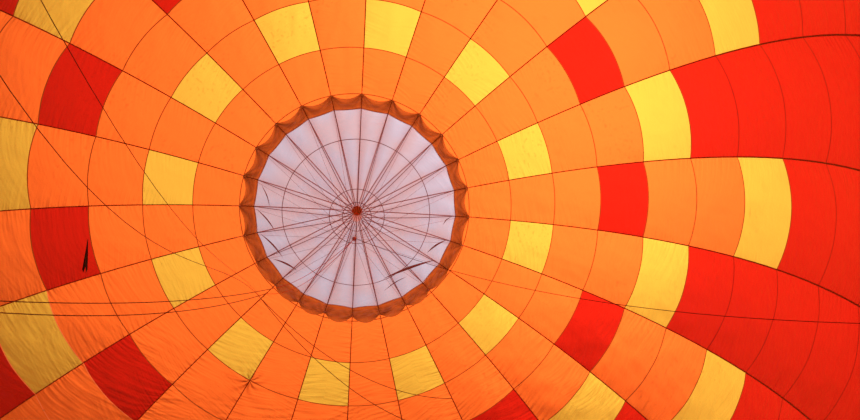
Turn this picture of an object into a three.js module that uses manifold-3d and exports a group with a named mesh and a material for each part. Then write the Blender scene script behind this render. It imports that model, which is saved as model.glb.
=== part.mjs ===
// A hot air balloon's envelope, upright as it flies: 24 gores between load tapes, a parachute valve
// under the crown tapes, and flying wires down to four karabiners. Millimetres, +Z towards the crown,
// with the origin on the axis, in the plane of the widest ring.
import * as THREE from 'three';
import { mergeVertices } from 'three/addons/utils/BufferGeometryUtils.js';
import Module from 'manifold-3d';

const wasm = await Module();
wasm.setup();

// Driving dimensions
const GORES = 24;
const EQUATOR_RADIUS = 8600; // axis to the load tapes at the widest ring
const ENVELOPE_HEIGHT = 15940; // apex to mouth, along the axis
const PANEL_ROW = 1360; // height of one row of panels, along a load tape
const OPENING_REACH = 3296; // apex to the valve opening's edge, along a load tape
const VALVE_REACH = 3767; // apex to the parachute's rim at a load tape
const VALVE_DIP = 0.5; // how far back the rim comes between tapes, of its lap over the opening
const DOME_RINGS = [1200, 2250]; // apex to the bends of the crown tapes and the parachute
const WALL = 10; // thickness of each fabric shell
const BULGE = 0.067; // a gore's rise between its tapes, of its own width
const FILL_OUT = 1.35; // how soon below the opening a gore reaches its full bulge
const SEAT = 0.3; // running gap between pieces that touch
const TAPE_WIDTH = 40;
const TAPE_THICKNESS = 6;
const HOOP_WIDTH = 50; // rim hoop and mouth hem, along the meridian

const CROWN_RING_RADIUS = 155; // to the middle of the ring's section
const CROWN_RING_WIDTH = 20;
const CROWN_RING_HEIGHT = 16;
const CROWN_RING_CHAMFER = 3;

const HUB_DROP = 5700; // apex down to the hub of the shroud lines
const HUB_RADIUS = 45;
const HUB_HEIGHT = 24;
const LINE_MEET = 0.75; // where a shroud line ends on the hub, of the hub's radius
const LINE_WIDTH = 8; // shroud lines, as flat webbing
const LINE_THICKNESS = 4;
const SEWN_FROM = 0.5; // stretch that a shroud line is sewn along, of the parachute's lap
const SEWN_TO = 0.85;

const PULLEY_TAPE = 10; // the load tape that the pulley under the hub faces
const CHEEK_WIDTH = 44;
const CHEEK_HEIGHT = 78;
const CHEEK_THICKNESS = 4;
const CAP_HEIGHT = 8;
const AXLE_RADIUS = 4;
const AXLE_DROP = 48; // cap's top down to the axle
const AXLE_PLAY = 0.1;
const SHEAVE_RADIUS = 24;
const SHEAVE_WIDTH = 12;
const SHEAVE_GROOVE = 4;
const PULLEY_SIDES = 16;

const WIRE_WIDTH = 6;
const FRAME_RADIUS = 780; // axis to a corner of the burner frame
const WIRE_DROP = 1750; // mouth down to the karabiners' top bars
const GROUP = 6; // load tapes gathered at one karabiner
const THIMBLE_BORE = 10;
const THIMBLE_RADIUS = 18;
const THIMBLE_WIDTH = 12;
const THIMBLE_SIDES = 16;

const KARABINER_HALF_WIDTH = 35;
const KARABINER_HALF_HEIGHT = 60;
const KARABINER_CORNER = 26; // outer corner radius
const KARABINER_BAR = 12; // thickness of its bar
const KARABINER_CHAMFER = 3.5;
const GATE_HALF_LENGTH = 30; // half the gap that the gate closes
const GATE_RADIUS = 5;
const GATE_CHAMFER = 1;
const GATE_SIDES = 10;
const SLEEVE_RADIUS = 8.5;
const SLEEVE_TOP = 13.5; // above the gate's middle
const SLEEVE_BOTTOM = -16;

const GORE_ANGLE = (2 * Math.PI) / GORES;
const CHORDS = 4; // flats across one gore
const SIDES = 2 * GORES; // flats around a hoop

const RED = 0xd8281a;
const ORANGE = 0xf57526;
const LILAC = 0xd9bcc8;
const TAPE_BROWN = 0x7a1c12;
const STEEL = 0xb8bcc0;
const ALUMINIUM = 0xc9ccd0;

const group = new THREE.Group();

function place(name, geometry, color, roughness, metalness = 0) {
  const material = new THREE.MeshStandardMaterial({ color, roughness, metalness });
  const mesh = new THREE.Mesh(geometry, material);
  mesh.name = name;
  group.add(mesh);
  return mesh;
}

// The meridian is the shape that fabric takes when load tapes alone carry the lift: its slope turns
// in proportion to the radius and to the height above the mouth.
function trace(rate) {
  const step = 10;
  const points = [{ s: 0, r: 0, drop: 0, slope: 0 }];
  const turn = (r, drop) => (rate * r * (1 - drop / ENVELOPE_HEIGHT)) / EQUATOR_RADIUS ** 2;
  let last = points[0];
  while (last.drop < ENVELOPE_HEIGHT) {
    const half = last.slope + (turn(last.r, last.drop) * step) / 2;
    const r = last.r + Math.cos(half) * step;
    const drop = last.drop + Math.sin(half) * step;
    const slope = half + (turn(r, drop) * step) / 2;
    last = { s: last.s + step, r, drop, slope };
    points.push(last);
  }
  return points;
}

function widest(points) {
  return points.reduce((a, b) => (b.r > a.r ? b : a));
}

// A faster turn makes a slimmer shape, so the rate is halved in on until the widest ring fits
function meridian() {
  const halvings = 40;
  let slow = 1.8;
  let fast = 3.2;
  for (let i = 0; i < halvings; i += 1) {
    const rate = (slow + fast) / 2;
    if (widest(trace(rate)).r > EQUATOR_RADIUS) slow = rate;
    else fast = rate;
  }
  return trace(slow);
}

const MERIDIAN = meridian();
const EQUATOR_DROP = widest(MERIDIAN).drop;
const MOUTH = MERIDIAN[MERIDIAN.length - 1];

function at(s) {
  const step = MERIDIAN[1].s;
  const i = Math.min(Math.floor(s / step), MERIDIAN.length - 2);
  const t = s / step - i;
  const a = MERIDIAN[i];
  const b = MERIDIAN[i + 1];
  const mix = (key) => a[key] + (b[key] - a[key]) * t;
  return { r: mix('r'), z: EQUATOR_DROP - mix('drop'), slope: mix('slope') };
}

// A point at arc length s and an azimuth, raised along the outward normal and shifted sideways
function onWall(s, azimuth, raise = 0, aside = 0) {
  const { r, z, slope } = at(s);
  const radius = r + raise * Math.sin(slope);
  const x = radius * Math.cos(azimuth) - aside * Math.sin(azimuth);
  const y = radius * Math.sin(azimuth) + aside * Math.cos(azimuth);
  return new THREE.Vector3(x, y, z + raise * Math.cos(slope));
}

// The gores stand flat at the opening and at the mouth, and fill out between them
function bulge(s) {
  const t = THREE.MathUtils.clamp((s - OPENING_REACH) / (MOUTH.s - OPENING_REACH), 0, 1);
  return BULGE * Math.min(1, FILL_OUT * Math.sin(Math.PI * t));
}

// Closed slab between an upper and a lower sheet of points, each columns by rows; point takes the
// column, the row and the layer, which is 1 on the outside and 0 inside
function slab(columns, rows, point) {
  const positions = [];
  const index = [];
  const id = (i, j, layer) => (layer * (rows + 1) + j) * (columns + 1) + i;
  for (const layer of [0, 1]) {
    for (let j = 0; j <= rows; j += 1) {
      for (let i = 0; i <= columns; i += 1) {
        positions.push(...point(i, j, layer).toArray());
      }
    }
  }
  const quad = (a, b, c, d) => index.push(a, b, c, a, c, d);
  for (let j = 0; j < rows; j += 1) {
    for (let i = 0; i < columns; i += 1) {
      quad(id(i, j, 1), id(i, j + 1, 1), id(i + 1, j + 1, 1), id(i + 1, j, 1));
      index.push(id(i, j, 0), id(i + 1, j + 1, 0), id(i, j + 1, 0));
      index.push(id(i, j, 0), id(i + 1, j, 0), id(i + 1, j + 1, 0));
    }
    quad(id(0, j, 1), id(0, j, 0), id(0, j + 1, 0), id(0, j + 1, 1));
    quad(id(columns, j, 1), id(columns, j + 1, 1), id(columns, j + 1, 0), id(columns, j, 0));
  }
  for (let i = 0; i < columns; i += 1) {
    quad(id(i, 0, 1), id(i + 1, 0, 1), id(i + 1, 0, 0), id(i, 0, 0));
    quad(id(i, rows, 1), id(i, rows, 0), id(i + 1, rows, 0), id(i + 1, rows, 1));
  }
  const geometry = new THREE.BufferGeometry();
  geometry.setAttribute('position', new THREE.Float32BufferAttribute(positions, 3));
  geometry.setIndex(index);
  return geometry;
}

function solid(geometry) {
  const bare = geometry.clone();
  bare.deleteAttribute('normal');
  bare.deleteAttribute('uv');
  const merged = mergeVertices(bare, 1e-3);
  const vertProperties = new Float32Array(merged.attributes.position.array);
  const triVerts = new Uint32Array(merged.index.array);
  return new wasm.Manifold(new wasm.Mesh({ numProp: 3, vertProperties, triVerts }));
}

function join(geometries) {
  const joined = geometries.map(solid).reduce((sum, next) => sum.add(next));
  const { vertProperties, triVerts } = joined.getMesh();
  const geometry = new THREE.BufferGeometry();
  geometry.setAttribute('position', new THREE.Float32BufferAttribute(vertProperties, 3));
  geometry.setIndex(new THREE.Uint32BufferAttribute(triVerts, 1));
  return geometry;
}

// Rings of stations, as arc lengths from the apex. Below the lap there is a bay for each panel row
const CROWN_STATIONS = [
  CROWN_RING_RADIUS + CROWN_RING_WIDTH / 2 + SEAT,
  ...DOME_RINGS,
  OPENING_REACH - HOOP_WIDTH / 2,
];
const WALL_STATIONS = [OPENING_REACH + SEAT, VALVE_REACH];
const WALL_END = MOUTH.s - HOOP_WIDTH - SEAT;
const BAYS = Math.round((WALL_END - VALVE_REACH) / PANEL_ROW);
const BAY = (WALL_END - VALVE_REACH) / BAYS;
for (let i = 1; i <= BAYS; i += 1) WALL_STATIONS.push(VALVE_REACH + BAY * i);

// One gore: a shell WALL thick that bows outwards between its two tapes
function gore(k) {
  const middle = (k + 0.5) * GORE_ANGLE;
  return slab(CHORDS, WALL_STATIONS.length - 1, (i, j, layer) => {
    const s = WALL_STATIONS[j];
    const u = (2 * i) / CHORDS - 1;
    const width = at(s).r * GORE_ANGLE;
    const rise = bulge(s) * width * (1 - u * u) - (1 - layer) * WALL;
    const aside = Math.abs(u) === 1 ? (-u * SEAT) / 2 : 0;
    return onWall(s, middle + (u * GORE_ANGLE) / 2, rise, aside);
  });
}

// How far a tape is lifted by the two gores that rise on each side of it, in any bay that it spans
function tapeLift(s) {
  const u = 1 - 2 / CHORDS;
  const fall = Math.tan(GORE_ANGLE / CHORDS / 2);
  const climb = (reach) => bulge(reach) * CHORDS * (1 - u * u) - fall;
  const steepest = Math.max(0, climb(s - BAY), climb(s), climb(s + BAY));
  return (steepest * TAPE_WIDTH) / 2 + 2 * SEAT;
}

function strip(stations, azimuth, width, low, high) {
  return slab(1, stations.length - 1, (i, j, layer) => {
    const s = stations[j];
    return onWall(s, azimuth, layer ? high(s) : low(s), (i - 0.5) * width);
  });
}

// A hoop is a band around the whole circle between two arc lengths
function hoop(from, to, low, high) {
  const corner = (s, raise) => {
    const p = onWall(s, 0, raise);
    return new THREE.Vector2(p.x, p.z);
  };
  const profile = [corner(to, low), corner(to, high), corner(from, high), corner(from, low), corner(to, low)];
  return turned(profile, SIDES);
}

// A lathe solid about +Z from points of radius and height, the profile running up the outside
function turned(profile, sides) {
  const geometry = new THREE.LatheGeometry(profile, sides);
  geometry.rotateX(Math.PI / 2);
  geometry.rotateZ(-Math.PI / 2);
  return geometry;
}

function loadTapes() {
  const stations = [...WALL_STATIONS, MOUTH.s];
  const pieces = [hoop(MOUTH.s - HOOP_WIDTH, MOUTH.s, -WALL, SEAT + TAPE_THICKNESS / 2)];
  for (let k = 0; k < GORES; k += 1) {
    const top = (s) => tapeLift(s) + TAPE_THICKNESS;
    pieces.push(strip(stations, k * GORE_ANGLE, TAPE_WIDTH, tapeLift, top));
  }
  return join(pieces);
}

function crownTapes() {
  const pieces = [hoop(OPENING_REACH - HOOP_WIDTH, OPENING_REACH, -WALL, 0)];
  for (let k = 0; k < GORES; k += 1) {
    const low = () => -TAPE_THICKNESS / 2;
    const high = () => TAPE_THICKNESS / 2;
    pieces.push(strip(CROWN_STATIONS, k * GORE_ANGLE, TAPE_WIDTH, low, high));
  }
  return join(pieces);
}

function crownRing() {
  const inner = CROWN_RING_RADIUS - CROWN_RING_WIDTH / 2;
  const outer = CROWN_RING_RADIUS + CROWN_RING_WIDTH / 2;
  const top = EQUATOR_DROP + CROWN_RING_HEIGHT / 2;
  const low = top - CROWN_RING_HEIGHT;
  const chamfer = CROWN_RING_CHAMFER;
  const profile = [
    new THREE.Vector2(inner, low),
    new THREE.Vector2(outer - chamfer, low),
    new THREE.Vector2(outer, low + chamfer),
    new THREE.Vector2(outer, top - chamfer),
    new THREE.Vector2(outer - chamfer, top),
    new THREE.Vector2(inner, top),
    new THREE.Vector2(inner, low),
  ];
  return turned(profile, GORES);
}

// The parachute is a shallow dome just under the crown tapes; its rim laps under the gores and
// dips back between the tapes
function parachute() {
  const upper = -WALL - SEAT;
  const lower = upper - WALL;
  const stations = [...DOME_RINGS, OPENING_REACH, VALVE_REACH];
  const last = stations.length - 1;
  const profile = [];
  profile.push(new THREE.Vector2(0, EQUATOR_DROP + lower));
  for (const s of stations) profile.push(new THREE.Vector2(s, lower));
  for (const s of [...stations].reverse()) profile.push(new THREE.Vector2(s, upper));
  profile.push(new THREE.Vector2(0, EQUATOR_DROP + upper));
  const geometry = new THREE.LatheGeometry(profile, SIDES);
  const position = geometry.attributes.position;
  const rows = profile.length;
  for (let n = 0; n < position.count; n += 1) {
    const side = Math.floor(n / rows);
    const row = n % rows;
    const azimuth = (side % SIDES) * (GORE_ANGLE / 2);
    const point = new THREE.Vector3(0, 0, profile[row].y);
    if (profile[row].x > 0) {
      const raise = profile[row].y;
      const s = profile[row].x;
      point.copy(onWall(s, azimuth, raise));
      if (s === stations[last] && side % 2 === 1) {
        point.lerp(onWall(stations[last - 1], azimuth, raise), VALVE_DIP);
      }
    }
    position.setXYZ(n, point.x, point.y, point.z);
  }
  return geometry;
}

function hub() {
  const top = EQUATOR_DROP - HUB_DROP;
  const profile = [
    new THREE.Vector2(0, top - HUB_HEIGHT),
    new THREE.Vector2(HUB_RADIUS, top - HUB_HEIGHT),
    new THREE.Vector2(HUB_RADIUS, top),
    new THREE.Vector2(0, top),
  ];
  return turned(profile, GORES);
}

// Each shroud line lies along the parachute's underside near its rim and runs straight to the hub
function shroudLine(k) {
  const azimuth = k * GORE_ANGLE;
  const depth = -2 * WALL - 4 * SEAT;
  const sewn = [SEWN_TO, SEWN_FROM];
  const outward = new THREE.Vector3(Math.cos(azimuth), Math.sin(azimuth), 0);
  const sideways = new THREE.Vector3(-Math.sin(azimuth), Math.cos(azimuth), 0);
  const end = outward.clone().multiplyScalar(HUB_RADIUS * LINE_MEET);
  end.z = EQUATOR_DROP - HUB_DROP - HUB_HEIGHT / 2 + LINE_THICKNESS / 2;
  return slab(1, 2, (i, j, layer) => {
    const point = end.clone();
    if (j > 0) {
      const raise = depth - (1 - layer) * LINE_THICKNESS;
      point.copy(onWall(OPENING_REACH, azimuth, raise));
      point.lerp(onWall(VALVE_REACH, azimuth, raise), sewn[2 - j]);
    } else {
      point.z -= (1 - layer) * LINE_THICKNESS;
    }
    return point.addScaledVector(sideways, (i - 0.5) * LINE_WIDTH);
  });
}

function shroudLines() {
  const pieces = [hub()];
  for (let k = 0; k < GORES; k += 1) pieces.push(shroudLine(k));
  return join(pieces);
}

// Pieces of the pulley are made about its axle, with the axle along Y, and set under the hub
function setUnderHub(geometry) {
  geometry.rotateZ(PULLEY_TAPE * GORE_ANGLE);
  geometry.translate(0, 0, EQUATOR_DROP - HUB_DROP - HUB_HEIGHT - SEAT - AXLE_DROP);
  return geometry;
}

function pulleyBlock() {
  const inside = SHEAVE_WIDTH / 2 + SEAT;
  const across = 2 * (inside + CHEEK_THICKNESS);
  const cap = new THREE.BoxGeometry(CHEEK_WIDTH, across, CAP_HEIGHT);
  cap.translate(0, 0, AXLE_DROP - CAP_HEIGHT / 2);
  const pieces = [cap, new THREE.CylinderGeometry(AXLE_RADIUS, AXLE_RADIUS, across, PULLEY_SIDES)];
  for (const side of [-1, 1]) {
    const cheek = new THREE.BoxGeometry(CHEEK_WIDTH, CHEEK_THICKNESS, CHEEK_HEIGHT);
    cheek.translate(0, side * (inside + CHEEK_THICKNESS / 2), AXLE_DROP - CHEEK_HEIGHT / 2);
    pieces.push(cheek);
  }
  return setUnderHub(join(pieces));
}

function pulleySheave() {
  const bore = (AXLE_RADIUS + AXLE_PLAY) / Math.cos(Math.PI / PULLEY_SIDES);
  const half = SHEAVE_WIDTH / 2;
  const profile = [
    new THREE.Vector2(bore, -half),
    new THREE.Vector2(SHEAVE_RADIUS, -half),
    new THREE.Vector2(SHEAVE_RADIUS - SHEAVE_GROOVE, 0),
    new THREE.Vector2(SHEAVE_RADIUS, half),
    new THREE.Vector2(bore, half),
    new THREE.Vector2(bore, -half),
  ];
  return setUnderHub(new THREE.LatheGeometry(profile, PULLEY_SIDES));
}

// Where each karabiner hangs: the middle of its top bar
function karabinerTop(n) {
  const azimuth = ((GROUP - 1) / 2 + n * GROUP) * GORE_ANGLE;
  const z = EQUATOR_DROP - MOUTH.drop - WIRE_DROP;
  return new THREE.Vector3(FRAME_RADIUS * Math.cos(azimuth), FRAME_RADIUS * Math.sin(azimuth), z);
}

// The thimble is pulled up under the top bar, so its bore sits high around the bar
function thimbleRise() {
  const flat = KARABINER_BAR / 2 - KARABINER_CHAMFER;
  const reach = THIMBLE_BORE * Math.cos(Math.PI / THIMBLE_SIDES) - SEAT;
  return Math.sqrt(reach ** 2 - flat ** 2) - KARABINER_BAR / 2;
}

function thimble(n) {
  const profile = [
    new THREE.Vector2(THIMBLE_BORE, -THIMBLE_WIDTH / 2),
    new THREE.Vector2(THIMBLE_RADIUS, -THIMBLE_WIDTH / 2),
    new THREE.Vector2(THIMBLE_RADIUS, THIMBLE_WIDTH / 2),
    new THREE.Vector2(THIMBLE_BORE, THIMBLE_WIDTH / 2),
    new THREE.Vector2(THIMBLE_BORE, -THIMBLE_WIDTH / 2),
  ];
  const geometry = new THREE.LatheGeometry(profile, THIMBLE_SIDES);
  geometry.rotateZ(-Math.PI / 2);
  const top = karabinerTop(n);
  geometry.translate(top.x, top.y, top.z + thimbleRise());
  return geometry;
}

function bar(from, to, width) {
  const length = from.distanceTo(to);
  const geometry = new THREE.BoxGeometry(width, width, length);
  geometry.translate(0, 0, length / 2);
  const turn = new THREE.Quaternion();
  turn.setFromUnitVectors(new THREE.Vector3(0, 0, 1), to.clone().sub(from).normalize());
  geometry.applyQuaternion(turn);
  geometry.translate(from.x, from.y, from.z);
  return geometry;
}

function flyingWires(n) {
  const crest = karabinerTop(n);
  crest.z += thimbleRise() + (THIMBLE_BORE + THIMBLE_RADIUS) / 2;
  const pieces = [thimble(n)];
  for (let i = 0; i < GROUP; i += 1) {
    const azimuth = (n * GROUP + i) * GORE_ANGLE;
    const top = onWall(MOUTH.s + 4 * SEAT, azimuth, -WIRE_WIDTH / 2);
    pieces.push(bar(crest, top, WIRE_WIDTH));
  }
  return join(pieces);
}

// A C-shaped bar with round corners, open where the gate closes it
function karabinerOutline() {
  const w = KARABINER_HALF_WIDTH;
  const h = KARABINER_HALF_HEIGHT;
  const c = KARABINER_CORNER;
  const b = KARABINER_BAR;
  const right = Math.PI / 2;
  const shape = new THREE.Shape();
  shape.moveTo(w, -GATE_HALF_LENGTH);
  shape.lineTo(w, c - h);
  shape.absarc(w - c, c - h, c, 0, -right, true);
  shape.absarc(c - w, c - h, c, -right, -2 * right, true);
  shape.absarc(c - w, h - c, c, 2 * right, right, true);
  shape.absarc(w - c, h - c, c, right, 0, true);
  shape.lineTo(w, GATE_HALF_LENGTH);
  shape.lineTo(w - b, GATE_HALF_LENGTH);
  shape.absarc(w - c, h - c, c - b, 0, right, false);
  shape.absarc(c - w, h - c, c - b, right, 2 * right, false);
  shape.absarc(c - w, c - h, c - b, 2 * right, 3 * right, false);
  shape.absarc(w - c, c - h, c - b, 3 * right, 4 * right, false);
  shape.lineTo(w - b, -GATE_HALF_LENGTH);
  shape.closePath();
  return shape;
}

function karabiner() {
  const depth = KARABINER_BAR - 2 * KARABINER_CHAMFER;
  const geometry = new THREE.ExtrudeGeometry(karabinerOutline(), {
    depth,
    curveSegments: 2,
    bevelEnabled: true,
    bevelThickness: KARABINER_CHAMFER,
    bevelSize: KARABINER_CHAMFER,
    bevelOffset: -KARABINER_CHAMFER,
    bevelSegments: 1,
  });
  geometry.translate(0, 0, -depth / 2);
  geometry.rotateX(Math.PI / 2);
  return geometry;
}

// The gate turns about the middle of its round lower end, so that end has its hinge as its centre
function gate() {
  const half = GATE_HALF_LENGTH - SEAT;
  const round = GATE_RADIUS * Math.SQRT1_2;
  const profile = [
    new THREE.Vector2(0, -half),
    new THREE.Vector2(round, GATE_RADIUS - round - half),
    new THREE.Vector2(GATE_RADIUS, GATE_RADIUS - half),
    new THREE.Vector2(GATE_RADIUS, SLEEVE_BOTTOM),
    new THREE.Vector2(SLEEVE_RADIUS, SLEEVE_BOTTOM),
    new THREE.Vector2(SLEEVE_RADIUS, SLEEVE_TOP),
    new THREE.Vector2(GATE_RADIUS, SLEEVE_TOP),
    new THREE.Vector2(GATE_RADIUS, half - GATE_CHAMFER),
    new THREE.Vector2(GATE_RADIUS - GATE_CHAMFER, half),
    new THREE.Vector2(0, half),
  ];
  return turned(profile, GATE_SIDES);
}

for (let k = 0; k < GORES; k += 1) {
  place(`gore_${String(k + 1).padStart(2, '0')}`, gore(k), k % 2 ? ORANGE : RED, 0.6);
}
place('load_tapes', loadTapes(), TAPE_BROWN, 0.8);
place('crown_tapes', crownTapes(), TAPE_BROWN, 0.8);
place('crown_ring', crownRing(), ALUMINIUM, 0.35, 1);
place('parachute', parachute(), LILAC, 0.6);
place('shroud_lines', shroudLines(), TAPE_BROWN, 0.8);
place('pulley_block', pulleyBlock(), STEEL, 0.3, 1);
place('pulley_sheave', pulleySheave(), ALUMINIUM, 0.35, 1);
for (let n = 0; n < GORES / GROUP; n += 1) {
  const middle = karabinerTop(n);
  middle.z -= KARABINER_HALF_HEIGHT - KARABINER_BAR / 2;
  place(`flying_wires_${n + 1}`, flyingWires(n), STEEL, 0.4, 1);
  place(`karabiner_${n + 1}`, karabiner(), STEEL, 0.3, 1).position.copy(middle);
  const hinge = place(`karabiner_gate_${n + 1}`, gate(), STEEL, 0.3, 1);
  hinge.position.copy(middle);
  hinge.position.x += KARABINER_HALF_WIDTH - KARABINER_BAR / 2;
}

export default group;
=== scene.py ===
# %% [markdown]
# # A hot air balloon envelope, seen from inside
# The envelope is 24 strips of coated nylon, called gores, sewn together under load tapes. At the
# crown a loose round panel, the parachute, is pressed by the hot air against the tapes that cross
# the opening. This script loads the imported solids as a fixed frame, makes the cloth, tapes, lines
# and metal over them, lights the whole from outside and looks up from the mouth.

# %% The frame
import math
import random

import bmesh
import bpy
from mathutils import Matrix, Vector
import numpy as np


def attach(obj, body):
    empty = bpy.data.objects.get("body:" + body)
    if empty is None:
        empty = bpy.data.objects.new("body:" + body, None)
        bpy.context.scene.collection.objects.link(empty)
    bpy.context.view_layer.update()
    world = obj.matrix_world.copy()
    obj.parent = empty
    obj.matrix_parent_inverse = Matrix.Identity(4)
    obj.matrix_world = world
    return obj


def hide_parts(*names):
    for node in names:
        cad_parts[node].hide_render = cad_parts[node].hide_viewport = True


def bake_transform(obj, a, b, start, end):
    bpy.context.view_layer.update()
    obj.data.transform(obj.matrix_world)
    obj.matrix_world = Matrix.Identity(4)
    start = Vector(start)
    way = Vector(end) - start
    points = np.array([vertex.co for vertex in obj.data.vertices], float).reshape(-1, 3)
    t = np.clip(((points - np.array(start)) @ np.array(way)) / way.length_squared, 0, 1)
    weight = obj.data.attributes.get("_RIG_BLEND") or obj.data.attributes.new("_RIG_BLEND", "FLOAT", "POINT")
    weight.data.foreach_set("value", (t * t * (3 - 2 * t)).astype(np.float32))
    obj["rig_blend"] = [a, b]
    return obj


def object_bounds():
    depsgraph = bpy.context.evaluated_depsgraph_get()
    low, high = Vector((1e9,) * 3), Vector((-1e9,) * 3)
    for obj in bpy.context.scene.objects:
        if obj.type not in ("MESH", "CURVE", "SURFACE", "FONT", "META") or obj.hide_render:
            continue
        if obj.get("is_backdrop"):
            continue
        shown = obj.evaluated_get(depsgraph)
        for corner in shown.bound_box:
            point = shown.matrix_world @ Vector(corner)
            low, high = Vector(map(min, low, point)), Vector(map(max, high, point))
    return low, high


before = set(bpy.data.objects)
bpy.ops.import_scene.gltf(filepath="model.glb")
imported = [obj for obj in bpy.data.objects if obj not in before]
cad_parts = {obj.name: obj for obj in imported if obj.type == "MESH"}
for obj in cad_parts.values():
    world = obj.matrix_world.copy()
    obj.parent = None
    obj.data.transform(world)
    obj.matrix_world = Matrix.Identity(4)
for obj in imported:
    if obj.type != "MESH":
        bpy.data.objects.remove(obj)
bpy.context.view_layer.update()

# %% [markdown]
# ## The sizes that drive everything
# They are the sizes of the solids, in metres. Lengths along the cloth are measured from the apex
# down a load tape, because that is how a sailmaker lays out a gore.

# %% Driving sizes
GORES = 24
GORE_ANGLE = math.tau / GORES
EQUATOR_RADIUS = 8.6
ENVELOPE_HEIGHT = 15.94
OPENING_REACH = 3.296
VALVE_REACH = 3.767
FIRST_SEAM = 3.73
PANEL_ROW = 1.36
PANEL_ROWS = 15
BULGE = 0.067
FILL_OUT = 1.35
TAPE_WIDTH = 0.029
HEM_WIDTH = 0.05
HUB_DROP = 5.7

# %% [markdown]
# ## The camera
# The photograph looks in through the mouth, up at the crown, a little off the axis and with a short
# lens. It could be aimed by eye, but the places of seams in the photograph were fitted, which gave
# the three turns, about the picture's right, down and depth directions, and the lens. A small shift
# keeps the crown left of the middle.

# %% Camera
CAMERA_AT = Vector((0.52, -1.62, -10.2))
CAMERA_TURNS = (0.154, -0.090, -0.203)
CAMERA_LENS = 20.26
CAMERA_SHIFT = (0.028, 0.028)
SENSOR_WIDTH = 36.0

sight = Matrix.Identity(3)
for axis, turn in zip("XYZ", CAMERA_TURNS):
    sight = sight @ Matrix.Rotation(turn, 3, axis)
PICTURE_RIGHT, PICTURE_DOWN, PICTURE_DEPTH = (Vector(row) for row in sight)

lens = bpy.data.cameras.new("mouth_camera")
lens.lens = CAMERA_LENS
lens.sensor_width = SENSOR_WIDTH
lens.shift_x, lens.shift_y = CAMERA_SHIFT
lens.clip_start, lens.clip_end = 0.02, 500.0
camera = bpy.data.objects.new("mouth_camera", lens)
facing = Matrix((PICTURE_RIGHT, -PICTURE_DOWN, -PICTURE_DEPTH)).transposed().to_4x4()
camera.matrix_world = Matrix.Translation(CAMERA_AT) @ facing
bpy.context.collection.objects.link(camera)
bpy.context.scene.camera = camera
print("camera looks along", [round(c, 3) for c in PICTURE_DEPTH])

# %% [markdown]
# ## The meridian
# Fabric that hangs from load tapes takes the natural shape: the slope turns in proportion to the
# radius and to the height above the mouth. A drawn curve would look right at the crown and wrong at
# the mouth. The solids use the same rule, so the cloth lies on them. The rate is halved in on until
# the widest ring has the right radius.

# %% Meridian
STEP = 0.01
HALVINGS = 40


def trace(rate):
    def turn(r, drop):
        return rate * r * (1 - drop / ENVELOPE_HEIGHT) / EQUATOR_RADIUS**2

    r, drop, slope = 0.0, 0.0, 0.0
    line = [(r, drop, slope)]
    while drop < ENVELOPE_HEIGHT:
        half = slope + turn(r, drop) * STEP / 2
        r += math.cos(half) * STEP
        drop += math.sin(half) * STEP
        slope = half + turn(r, drop) * STEP / 2
        line.append((r, drop, slope))
    return line


def meridian():
    slow, fast = 1.8, 3.2
    for _ in range(HALVINGS):
        rate = (slow + fast) / 2
        if max(r for r, drop, slope in trace(rate)) > EQUATOR_RADIUS:
            slow = rate
        else:
            fast = rate
    return trace(slow)


MERIDIAN = meridian()
APEX = max(MERIDIAN)[1]
MOUTH_REACH = STEP * (len(MERIDIAN) - 1)
GORE_END = MOUTH_REACH - HEM_WIDTH
print("apex height", round(APEX, 4), "mouth reach", round(MOUTH_REACH, 3))


def at(s):
    """Radius, height and slope of a load tape at arc length s"""
    place = min(max(s, 0.0), MOUTH_REACH - 1e-6) / STEP
    i = int(place)
    r, drop, slope = (a + (b - a) * (place - i) for a, b in zip(MERIDIAN[i], MERIDIAN[i + 1]))
    return r, APEX - drop, slope


def wall(s, azimuth, rise=0.0, aside=0.0):
    """A point on the wall, raised along the outward normal and shifted sideways"""
    r, z, slope = at(s)
    radius = r + rise * math.sin(slope)
    x = radius * math.cos(azimuth) - aside * math.sin(azimuth)
    y = radius * math.sin(azimuth) + aside * math.cos(azimuth)
    return Vector((x, y, z + rise * math.cos(slope)))


def bulge(s):
    t = min(max((s - OPENING_REACH) / (MOUTH_REACH - OPENING_REACH), 0.0), 1.0)
    return BULGE * min(1.0, FILL_OUT * math.sin(math.pi * t))


# %% [markdown]
# ## Shader sums
# Cloth needs a good deal of shader maths, and a Math node for each step is hard to follow. One
# small class wraps a socket, so that a sum of masks is written as a Python expression, and another
# makes every other node of a finish.

# %% Shader helpers


def sum_of(operation, reflected=False):
    """The method for an operator: it adds a Math node to the finish that a socket belongs to"""

    def method(self, other):
        values = (other, self) if reflected else (self, other)
        return self.finish.maths(operation, *values)

    return method


class Signal:
    """A shader socket that takes part in sums"""

    def __init__(self, finish, socket):
        self.finish = finish
        self.socket = socket

    def math(self, operation, *others):
        return self.finish.maths(operation, self, *others)

    __add__, __radd__ = sum_of("ADD"), sum_of("ADD", True)
    __sub__, __rsub__ = sum_of("SUBTRACT"), sum_of("SUBTRACT", True)
    __mul__, __rmul__ = sum_of("MULTIPLY"), sum_of("MULTIPLY", True)
    __truediv__, __rtruediv__ = sum_of("DIVIDE"), sum_of("DIVIDE", True)


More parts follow.
